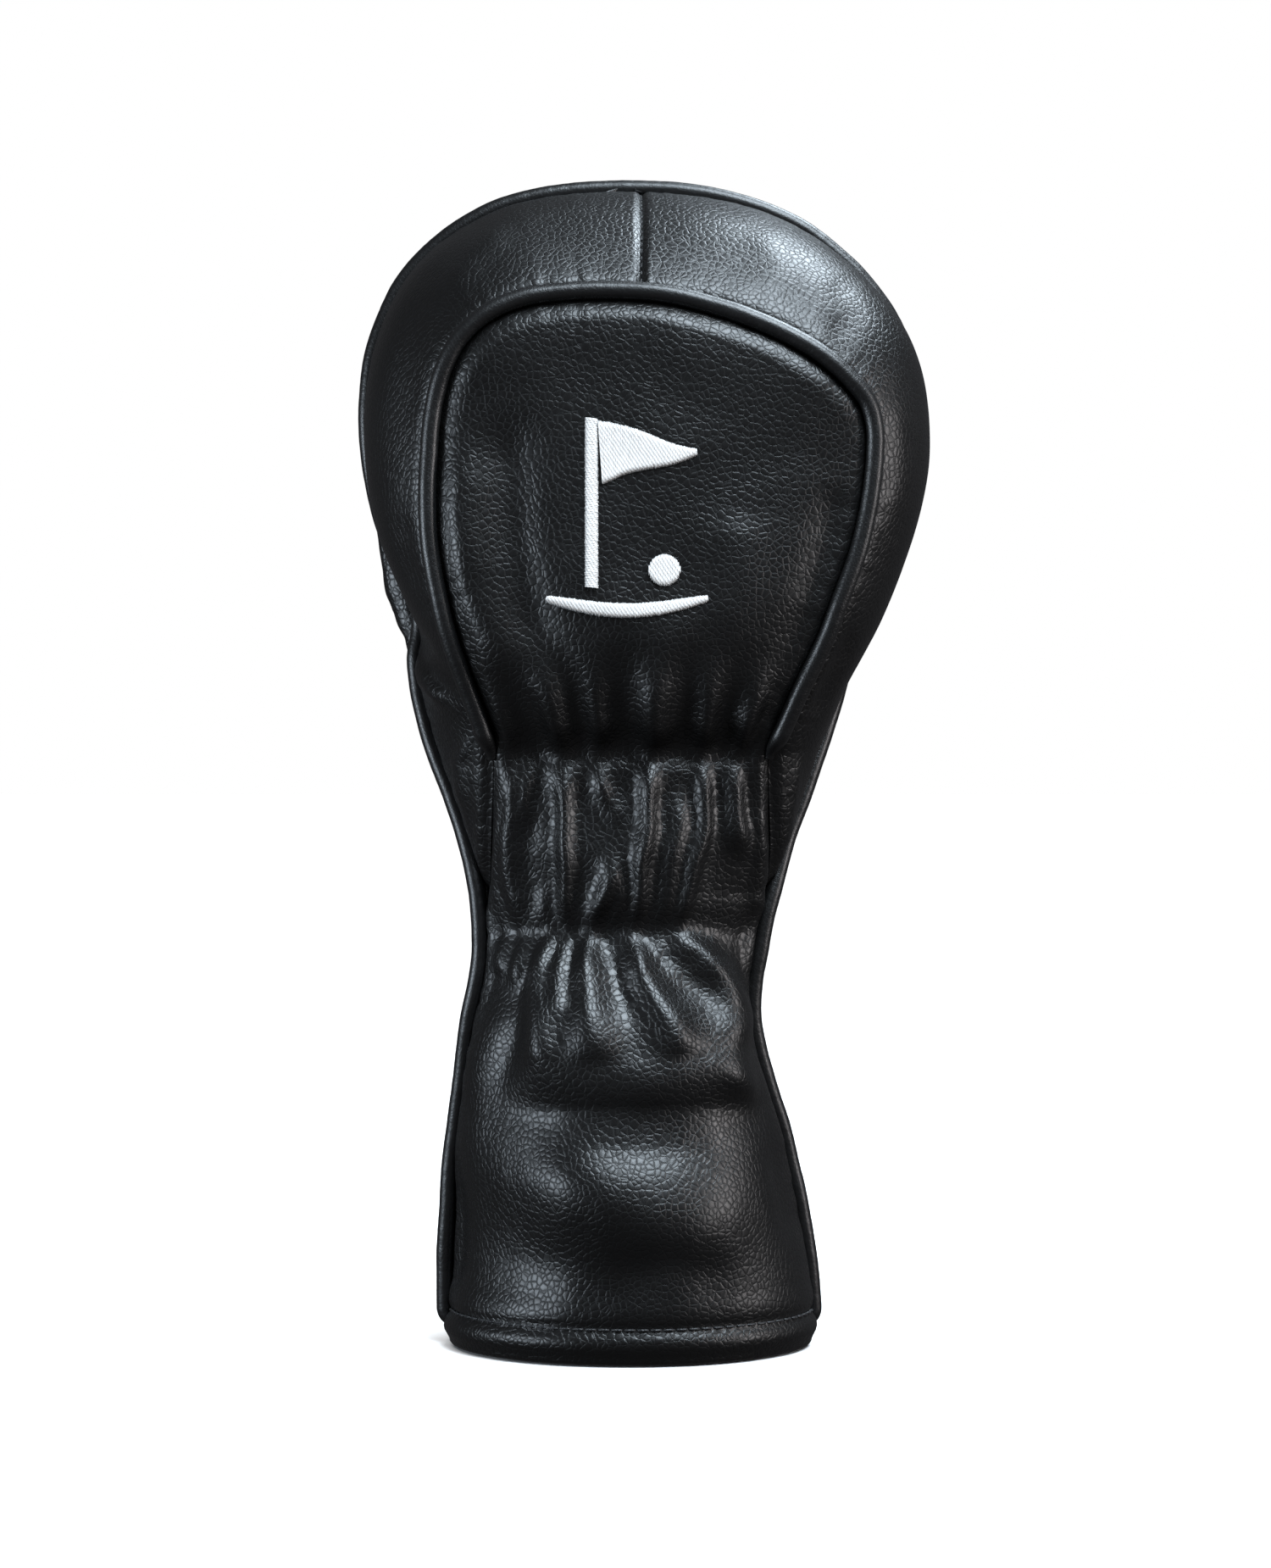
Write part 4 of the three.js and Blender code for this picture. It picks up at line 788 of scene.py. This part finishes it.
for side, word in (("l", "left"), ("r", "right")):
    s = np.linspace(0.0, 0.9996, 400)
    s = 0.6 * s + 0.4 * s ** 1.6 * 1.0
    t = np.linspace(0, 1, 56)
    t = 0.5 * t + 0.5 * (1 - np.cos(np.pi * t)) / 2
    G = band_surface(side, s[:, None] + 0 * t[None, :], t[None, :] + 0 * s[:, None])
    mid = G.mean(axis=1, keepdims=True)
    out = G - np.array([-4.0, 2.0, 0]) - np.array([0, 0, 1]) * np.minimum(G[..., 2:], 255)
    ng = grid_normals(G, out)
    a, d1 = seam_shape(G, sole_tree, sole, 2.1, 2.6, 0.16, 8.0, 4)
    b, d2 = seam_shape(G, crown_tree, crown, 2.1, 2.6, 0.16, 9.0, 5)
    U, V = chart(G)
    h = np.zeros_like(U)
    for pts, amp, width in GUSSET_FOLDS[side]:
        h += stroke(U, V, pts, amp, width, (0.3, 0.3))
    h += 0.55 * noise(G, 40, 21) + 0.15 * noise(G, 18, 22)
    h = np.where(h < 0, -np.tanh(-h), h)
    joint = np.exp(-((G[..., 0] - JOINT_X) / 1.0) ** 2) * (G[..., 2] > 290)
    lap = 0.35 * smooth(1.5, 4, np.abs(G[..., 0] - JOINT_X)) * (G[..., 2] > 290)
    G = G + ng * (h * smooth(1, 10, np.minimum(d1, d2)) + a + b - 1.2 * joint)[..., None]
    ng = grid_normals(G, out)
    gusset_grids[side] = (G, ng, s, t)
    v, f = slab(G, ng, 1.35)
    make(f"gusset_{word}_leather", v, f, M_LEATHER, [f"gusset_{word}"])


# ------------------------------------------------------------------ pipings and their cords
def outward_at(line):
    """The way out of the cover at each point of a seam: the mean of the outward normals of the panels beside it."""
    pts = np.concatenate([back[::4, ::4].reshape(-1, 3), front[::4, ::4].reshape(-1, 3), gusset_grids["l"][0][::6, ::6].reshape(-1, 3), gusset_grids["r"][0][::6, ::6].reshape(-1, 3)])
    nn = np.concatenate([nb[::4, ::4].reshape(-1, 3), nf[::4, ::4].reshape(-1, 3), gusset_grids["l"][1][::6, ::6].reshape(-1, 3), gusset_grids["r"][1][::6, ::6].reshape(-1, 3)])
    tr = tree_of(pts)
    out = np.empty_like(line)
    for i, p in enumerate(line):
        acc = np.zeros(3)
        for _, k, d in tr.find_n(p, 60):
            acc += nn[k] * math.exp(-((d - 5) / 4) ** 2)
        out[i] = acc
    k = np.ones(31) / 31
    for c in range(3):
        out[:, c] = np.convolve(np.pad(out[:, c], 15, "edge"), k, "valid")
    return out / np.linalg.norm(out, axis=1, keepdims=True)


def piping(name, line, node_cover, node_cord, taper):
    n = len(line)
    out = outward_at(line)
    k = np.arange(n)
    length = np.concatenate([[0], np.cumsum(np.linalg.norm(np.diff(line, axis=0), axis=1))])
    wob = noise(np.stack([length, 0 * length, 0 * length], -1), 16, 31) * 0.35
    path = line + out * (0.25 + wob)[:, None]
    r = 2.5 + 0.05 * noise(np.stack([length, 0 * length, 0 * length + 9], -1), 5.0, 32) + 0.02 * noise(np.stack([length, 0 * length, 0 * length + 5], -1), 2.2, 33)
    if taper:
        e = np.minimum(length, length[-1] - length)
        path = path - out * (2.6 * (1 - smooth(0, 9, e)))[:, None]
        r = r * (0.62 + 0.38 * smooth(0, 8, e))
    else:
        # at the foot the strip is folded in under the hem
        e = np.minimum(length, length[-1] - length)
        tuck = (1 - smooth(0, 8.5, e)) ** 1.4
        path = path - out * (4.2 * tuck)[:, None]
        path[:, 2] += 1.6 * tuck
        r = r * (0.72 + 0.28 * smooth(0, 6.0, e))
    sides = 22
    V, F = tube(path, r, sides=sides, normals=out)
    # fine wrinkles across the strip
    ang = np.tile(np.arange(sides) * 2 * np.pi / sides, n)
    ss = np.repeat(length, sides)
    rel = noise(np.stack([ss, np.cos(ang) * 1.6, np.sin(ang) * 1.6], -1), 1.9, 34)
    mid = np.repeat(path, sides, axis=0)
    d = V - mid
    d /= np.maximum(np.linalg.norm(d, axis=1, keepdims=True), 1e-9)
    V = V + d * (0.045 * rel)[:, None]
    ob = make(name + "_leather", V, F, M_PIPING, [node_cover])
    step = max(1, n // 420)
    cv, cf = tube(path[::step], 1.35, sides=10)
    make(name + "_filler", cv, cf, M_CORD, [node_cord])
    return path, out


c_line = crown[(crown[:, 2] > 1.2)]
crown_path, crown_out = piping("crown_piping", c_line, "crown_piping_cover", "crown_piping_cord", False)
s_line = sole[(sole[:, 2] > UPPER_Z - 1.5)]
sole_path, sole_out = piping("sole_piping", s_line, "sole_piping_cover", "sole_piping_cord", True)


# ------------------------------------------------------------------ stitches
def stitches(lines, normals, pitch, length, radius, lift=0.12):
    """Separate stitches along each line: each is a short thread that comes up, lies on the leather and goes down again."""
    V, F, base = [], [], 0
    for line, nn in zip(lines, normals):
        L = np.concatenate([[0], np.cumsum(np.linalg.norm(np.diff(line, axis=0), axis=1))])
        k = int(L[-1] // pitch)
        for q in range(k):
            u = q * pitch + 0.5 * (L[-1] - k * pitch) + np.linspace(0.0, length, 9)
            p = np.stack([np.interp(u, L, line[:, c]) for c in range(3)], 1)
            m = np.stack([np.interp(u, L, nn[:, c]) for c in range(3)], 1)
            w = np.linspace(0, 1, 9)
            hgt = lift + radius * 0.55 - 0.75 * (np.abs(2 * w - 1) ** 4)
            a, b = tube(p + m * hgt[:, None], radius, sides=7)
            V.append(a)
            F += [[x + base for x in y] for y in b]
            base += len(a)
    return np.vstack(V), F


def level_line(grid, norm, zs_rows, z, d_clear, dist):
    """The line on a panel at height z, where it is clear of its seams."""
    j = np.interp(z, zs_rows[::-1], np.arange(len(zs_rows))[::-1]) if zs_rows[0] > zs_rows[-1] else np.interp(z, zs_rows, np.arange(len(zs_rows)))
    i = np.arange(grid.shape[1], dtype=float)
    p = sample(grid, np.full(len(i), j), i)
    m = sample(norm, np.full(len(i), j), i)
    d = sample(dist[..., None], np.full(len(i), j), i)[:, 0]
    keep = d > d_clear
    return p[keep], m[keep]


bd = np.minimum(sdist, near(crown_tree, back)[0])
p1, m1 = level_line(back, nb, zb, HEM_Z, 3.6, bd)
v, f = stitches([p1], [m1], 3.6, 3.0, 0.36)
make("hem_topstitch_back", v, f, M_DARK, ["hem_stitching_back"])
fd = near(crown_tree, front)[0]
p2, m2 = level_line(front, nf, zf, HEM_Z, 3.6, fd)
v, f = stitches([p2], [m2], 3.6, 3.0, 0.36)
make("hem_topstitch_front", v, f, M_DARK, ["hem_stitching_front"])
for name, z, node in (("upper_gather_stitches", UPPER_Z, "upper_gather_stitching"), ("lower_gather_stitches", LOWER_Z, "lower_gather_stitching")):
    p, m = level_line(back, nb, zb, z, 3.2, bd)
    v, f = stitches([p], [m], 3.4, 2.4, 0.30, lift=-0.55)
    make(name, v, f, M_DARK, [node])
ends = [(gusset_grids[k][0][-1], gusset_grids[k][1][-1]) for k in "lr"]
line = resample((ends[0][0] + ends[1][0]) / 2, 200)
nn = (ends[0][1] + ends[1][1]) / 2
nn = np.stack([np.interp(np.linspace(0, 1, 200), np.linspace(0, 1, len(nn)), nn[:, c]) for c in range(3)], 1)
keep = (near(crown_tree, line)[0] > 3.4) & (near(sole_tree, line)[0] > 3.4)
v, f = stitches([line[keep]], [nn[keep]], 3.0, 2.0, 0.28, lift=-0.2)
make("top_seam_stitches", v, f, M_DARK, ["top_seam_stitching"])


# ------------------------------------------------------------------ embroidered golf flag, satin stitch
from mathutils.bvhtree import BVHTree
face_pts = back.reshape(-1, 3)
rr, cc = back.shape[:2]
jj, ii = np.meshgrid(np.arange(rr - 1), np.arange(cc - 1), indexing="ij")
aa = (jj * cc + ii).ravel()
face_bvh = BVHTree.FromPolygons(face_pts.tolist(), np.stack([aa, aa + 1, aa + cc + 1, aa + cc], 1).tolist())


def on_face(x, z):
    hit = face_bvh.ray_cast((float(x), -80.0, float(z)), (0, 1, 0))
    return np.array(hit[0]) if hit[0] is not None else np.array([x, float(back_y(x, z)), z])


rng = np.random.default_rng(21)


def satin(strands, gap=0.30, rise=0.95, dx=0.13):
    """strands: list of ((x0, z0), (x1, z1)), one for each thread; returns a mesh of raised rounded threads that follow the leather."""
    V, F, base = [], [], 0
    for (a, b) in strands:
        a, b = np.array(a, float), np.array(b, float)
        n = max(5, int(np.linalg.norm(b - a) / 0.8) + 4)
        w = np.linspace(0, 1, n)
        pts = np.array([on_face(*(a + (b - a) * q)) for q in w])
        ln = np.linalg.norm(b - a)
        crown_h = min(rise, 0.32 + 0.22 * ln)
        e = np.clip(np.minimum(w, 1 - w) * ln / 0.9, 0, 1)
        h = -0.35 + (crown_h + 0.35 + rng.normal(0, 0.02)) * np.sqrt(1 - (1 - e) ** 2)
        pts = pts + np.array([0, -1, 0]) * h[:, None]
        v, f = tube(pts, gap * (0.98 + 0.05 * rng.normal()), sides=6)
        V.append(v)
        F += [[x + base for x in y] for y in f]
        base += len(v)
    return np.vstack(V), F


def across(centre, half, step=0.46, slant=0.25):
    """Threads laid across a stroke that follows centre (n, 2), with half its width at each point."""
    centre, half = np.asarray(centre, float), np.asarray(half, float)
    L = np.concatenate([[0], np.cumsum(np.linalg.norm(np.diff(centre, axis=0), axis=1))])
    u = np.arange(0.2, L[-1] - 0.1, step)
    c = np.stack([np.interp(u, L, centre[:, k]) for k in range(2)], 1)
    h = np.interp(u, L, half)
    g = np.gradient(centre, axis=0)
    tx = np.stack([np.interp(u, L, g[:, k]) for k in range(2)], 1)
    tx /= np.linalg.norm(tx, axis=1, keepdims=True)
    nx = np.stack([-tx[:, 1], tx[:, 0]], 1)
    out = []
    for p, w, n, t in zip(c, h, nx, tx):
        j = rng.normal(0, 0.05, 2)
        out.append((p + n * (w + j[0]) + t * slant * w * 0.5, p - n * (w + j[1]) - t * slant * w * 0.5))
    return out


pole = np.stack([np.full(40, -14.5), np.linspace(213.5, 260, 40)], 1)
v, f = satin(across(pole, np.full(40, 1.75)))
make("flagstick_embroidery", v, f, M_WHITE, ["emblem_flagstick"])
px_ = np.linspace(-12.1, 14.6, 60)
wave = 0.5 * np.sin((px_ + 12) / 26 * 2 * np.pi)
pen = np.stack([px_, 250.6 + wave], 1)
v, f = satin(across(pen, np.interp(px_, [-12.1, 14.6], [8.7, 0.8]), slant=0.1))
make("pennant_embroidery", v, f, M_WHITE, ["emblem_pennant"])
tt = np.linspace(0, 1, 60)
gr = np.stack([-27 + 44.5 * tt, 210.6 - 3.4 * np.sin(np.pi * tt)], 1)
v, f = satin(across(gr, 0.55 + 1.35 * np.sin(np.pi * tt) ** 0.5))
make("ground_embroidery", v, f, M_WHITE, ["emblem_ground"])
cx = np.linspace(-1, 1, 40)
v, f = satin(across(np.stack([5.5 + 4.3 * cx, np.full(40, 218.3)], 1), 4.3 * np.sqrt(np.maximum(1 - cx ** 2, 0.01)), slant=0.0))
make("ball_embroidery", v, f, M_WHITE, ["emblem_ball"])


# ------------------------------------------------------------------ inside: facing, elastic, foam, plush
def hem_ring():
    rows = []
    ring = np.concatenate([back_surface(np.array([3.0]), np.linspace(0, 1, 120)[:-1])[:], front_surface(np.array([3.0]), np.linspace(0, 1, 120)[:-1])])
    nxt, prv = np.roll(ring, -1, 0), np.roll(ring, 1, 0)
    o = np.stack([(nxt - prv)[:, 1], -(nxt - prv)[:, 0]], 1)
    o /= np.linalg.norm(o, axis=1, keepdims=True)
    prof = [(-3.9, 1.6), (-4.4, 1.15), (-4.9, 1.2), (-5.2, 1.8), (-5.25, 4.0), (-5.3, 7.0), (-5.25, 10.0), (-5.15, 11.6), (-4.8, 12.2), (-4.3, 12.1), (-3.95, 11.5), (-3.9, 9.0), (-3.9, 5.0)]
    V = []
    for k, (d, z) in enumerate(prof):
        p = ring.copy()
        wob = 0.12 * noise(np.stack([ring[:, 0], ring[:, 1], 0 * ring[:, 0] + z], -1), 9, 41)
        p[:, 0] += o[:, 0] * (d + wob)
        p[:, 1] += o[:, 1] * (d + wob)
        p[:, 2] = z
        V.append(p)
    n, m = len(ring), len(prof)
    V = np.vstack(V)
    F = []
    for k in range(m):
        for i in range(n):
            F.append((k * n + i, k * n + (i + 1) % n, ((k + 1) % m) * n + (i + 1) % n, ((k + 1) % m) * n + i))
    return V, [t[::-1] for t in F]


v, f = hem_ring()
make("hem_facing_tape", v, f, M_LEATHER, ["hem_facing"])

ze, ae = np.linspace(LOWER_Z + 0.2, UPPER_Z - 0.2, 140), np.linspace(0.09, 0.91, 150)
E = back_surface(ze[:, None], ae[None, :])
ne = grid_normals(E, np.array([0, -1, 0.0]))
ribs = 0.14 * np.sin((ze - LOWER_Z) / 2.4 * 2 * np.pi)[:, None] + 0.25 * noise(np.stack([E[..., 0], E[..., 2] * 0.2, 0 * E[..., 0]], -1), 7, 51)
E = E - ne * (4.0 - ribs)[..., None]
E = inner_shift(E.reshape(-1, 3)).reshape(E.shape)
v, f = slab(E, ne, 1.3)
elastic = make("elastic_band", v, f, M_WEB, ["waist_elastic"])


shells = []
for g_pts in (back, front, gusset_grids["l"][0], gusset_grids["r"][0]):
    rr_, cc_ = g_pts.shape[:2]
    j_, i_ = np.meshgrid(np.arange(rr_ - 1), np.arange(cc_ - 1), indexing="ij")
    a_ = (j_ * cc_ + i_).ravel()
    shells.append((BVHTree.FromPolygons(g_pts.reshape(-1, 3).tolist(), np.stack([a_, a_ + 1, a_ + cc_ + 1, a_ + cc_], 1).tolist()), g_pts))


def keep_under(co, depth, middle=np.array([-4.0, 0.0])):
    """Points in mm of a piece inside the cover, moved in where they come nearer than depth to the outside of the leather."""
    out = co.copy()
    for i, p in enumerate(co):
        best, hit = 6.0, None
        for bvh, _ in shells:
            q = bvh.find_nearest(p.tolist(), best)
            if q[0] is not None and q[3] < best:
                best, hit = q[3], q
        if hit is None:
            continue
        n = np.array(hit[1])
        if n[0] * (hit[0][0] - middle[0]) + n[1] * (hit[0][1] - middle[1]) + n[2] * max(hit[0][2] - 250, 0) < 0:
            n = -n
        s = (p - np.array(hit[0])) @ n
        if s > -depth:
            out[i] = p - n * (depth + s)
    return out


def from_cad(name, nodes, voxel, mat, bump_mm, scale_mm, seed, smooth_iter=4):
    """A softer copy of one or more CAD solids: voxel remeshed, smoothed and given the cloth's own unevenness."""
    import bmesh
    bm = bmesh.new()
    for nme in nodes:
        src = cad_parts[nme]
        src = src if hasattr(src, "data") else bpy.data.objects[nme]
        bm.from_mesh(src.data)
    me = bpy.data.meshes.new(name)
    bm.to_mesh(me)
    bm.free()
    ob = bpy.data.objects.new(name, me)
    bpy.context.scene.collection.objects.link(ob)
    mod = ob.modifiers.new("r", "REMESH")
    mod.mode = "VOXEL"
    mod.voxel_size = voxel / 1000
    mod2 = ob.modifiers.new("s", "SMOOTH")
    mod2.iterations = smooth_iter
    mod2.factor = 0.5
    dg = bpy.context.evaluated_depsgraph_get()
    dg.update()
    new = bpy.data.meshes.new_from_object(ob.evaluated_get(dg))
    ob.modifiers.clear()
    ob.data = new
    new.name = name
    n = len(new.vertices)
    co = np.empty(n * 3, np.float32)
    new.vertices.foreach_get("co", co)
    co = co.reshape(-1, 3).astype(float)
    no = np.empty(n * 3, np.float32)
    new.vertices.foreach_get("normal", no)
    no = no.reshape(-1, 3)
    h = noise(co * 1000, scale_mm, seed) + 0.5 * noise(co * 1000, scale_mm * 0.5, seed + 1)
    co = co + no * (h * bump_mm / 1000)[:, None]
    if name.startswith(("plush", "back_foam")):
        co = (inner_shift(co * 1000 - CENTRE) + CENTRE) / 1000
    co = (keep_under(co * 1000 - CENTRE, 1.8) + CENTRE) / 1000
    new.vertices.foreach_set("co", co.astype(np.float32).ravel())
    new.polygons.foreach_set("use_smooth", np.ones(len(new.polygons), bool))
    new.update()
    new.materials.clear()
    new.materials.append(mat)
    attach(ob, "root")
    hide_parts(*nodes)
    return ob


lining = from_cad("plush_lining", ["lining_back", "lining_front"], 1.65, M_PLUSH, 0.55, 3.2, 61)
for nme in ("front_foam", "back_foam", "gusset_foam_left", "gusset_foam_right"):
    pad = from_cad(nme + "_pad", [nme], 1.1, M_FOAM, 0.12, 3.0, 71, 3)


# ------------------------------------------------------------------ floor, light, camera
def area(name, loc, size, power, color, target):
    d = bpy.data.lights.new(name, "AREA")
    d.shape = "RECTANGLE"
    d.size, d.size_y = size
    d.energy = power
    d.color = color
    o = bpy.data.objects.new(name, d)
    o.location = loc
    from mathutils import Vector
    o.rotation_euler = (Vector(target) - Vector(loc)).to_track_quat("-Z", "Y").to_euler()
    bpy.context.scene.collection.objects.link(o)
    return o


fm = bpy.data.materials.new("studio_floor")
nt, b = nodes_of(fm)
b.inputs["Base Color"].default_value = (0.88, 0.88, 0.88, 1)
b.inputs["Roughness"].default_value = 0.95
b.inputs["Specular IOR Level"].default_value = 0.0
me = bpy.data.meshes.new("floor")
me.from_pydata([(-60, -60, -0.0004), (60, -60, -0.0004), (60, 60, -0.0004), (-60, 60, -0.0004)], [], [(0, 1, 2, 3)])
me.materials.append(fm)
floor = bpy.data.objects.new("floor", me)
bpy.context.scene.collection.objects.link(floor)
# the leather is set against dark surroundings, so the white floor doesn't mirror in it
floor.visible_glossy = False
floor.visible_diffuse = False

world = bpy.data.worlds.new("studio")
bpy.context.scene.world = world
world.use_nodes = True
wn = world.node_tree
wn.nodes.clear()
wo = wn.nodes.new("ShaderNodeOutputWorld")
bg1 = wn.nodes.new("ShaderNodeBackground")
bg1.inputs[0].default_value = (0.62, 0.62, 0.66, 1)
bg1.inputs[1].default_value = 0.105
bg2 = wn.nodes.new("ShaderNodeBackground")
bg2.inputs[0].default_value = (1, 1, 1, 1)
bg2.inputs[1].default_value = 1.0
lp = wn.nodes.new("ShaderNodeLightPath")
mx = wn.nodes.new("ShaderNodeMixShader")
wn.links.new(lp.outputs["Is Camera Ray"], mx.inputs[0])
wn.links.new(bg1.outputs[0], mx.inputs[1])
wn.links.new(bg2.outputs[0], mx.inputs[2])
wn.links.new(mx.outputs[0], wo.inputs[0])

key = area("key_above", (0.36, -0.60, 1.16), (0.66, 0.70), 24, (0.78, 0.90, 1.0), (0.0, 0, 0.15))
top = area("top_right", (0.46, 0.36, 1.22), (0.5, 0.4), 11, (0.78, 0.90, 1.0), (0, 0, 0.3))
left = area("left_low", (-1.00, -0.48, 0.17), (0.50, 0.32), 6, (0.78, 0.89, 1.0), (0, 0, 0.15))
right = area("right_low", (1.1, -0.4, 0.30), (0.25, 0.6), 4.4, (1.0, 0.96, 0.97), (0, 0, 0.1))
# the white embroidery is lit a little more, as it is held brighter than the leather
fill = area("emblem_fill", (0.1, -1.3, 0.6), (0.6, 0.6), 9.0, (1.0, 0.99, 1.0), (0, 0, 0.24))
only_emblem = bpy.data.collections.new("only_emblem")
for n_ in ("flagstick_embroidery", "pennant_embroidery", "ground_embroidery", "ball_embroidery"):
    only_emblem.objects.link(bpy.data.objects[n_])
fill.light_linking.receiver_collection = only_emblem
# an even light for the floor alone
sun = bpy.data.lights.new("floor_light", "SUN")
sun.energy = 3.9
sun.angle = 1.4
sun_ob = bpy.data.objects.new("floor_light", sun)
sun_ob.location = (0, 0, 3)
bpy.context.scene.collection.objects.link(sun_ob)
only_floor = bpy.data.collections.new("only_floor")
only_floor.objects.link(floor)
sun_ob.light_linking.receiver_collection = only_floor

cam = bpy.data.cameras.new("camera")
cam.lens = 80.08
cam.sensor_width = 36
cam.clip_end = 50
co = bpy.data.objects.new("camera", cam)
co.location = (-0.001854, -1.001851, 0.1597)
co.rotation_euler = (math.pi / 2, 0, 0)
bpy.context.scene.collection.objects.link(co)
bpy.context.scene.camera = co
bpy.context.scene.view_settings.view_transform = "Standard"
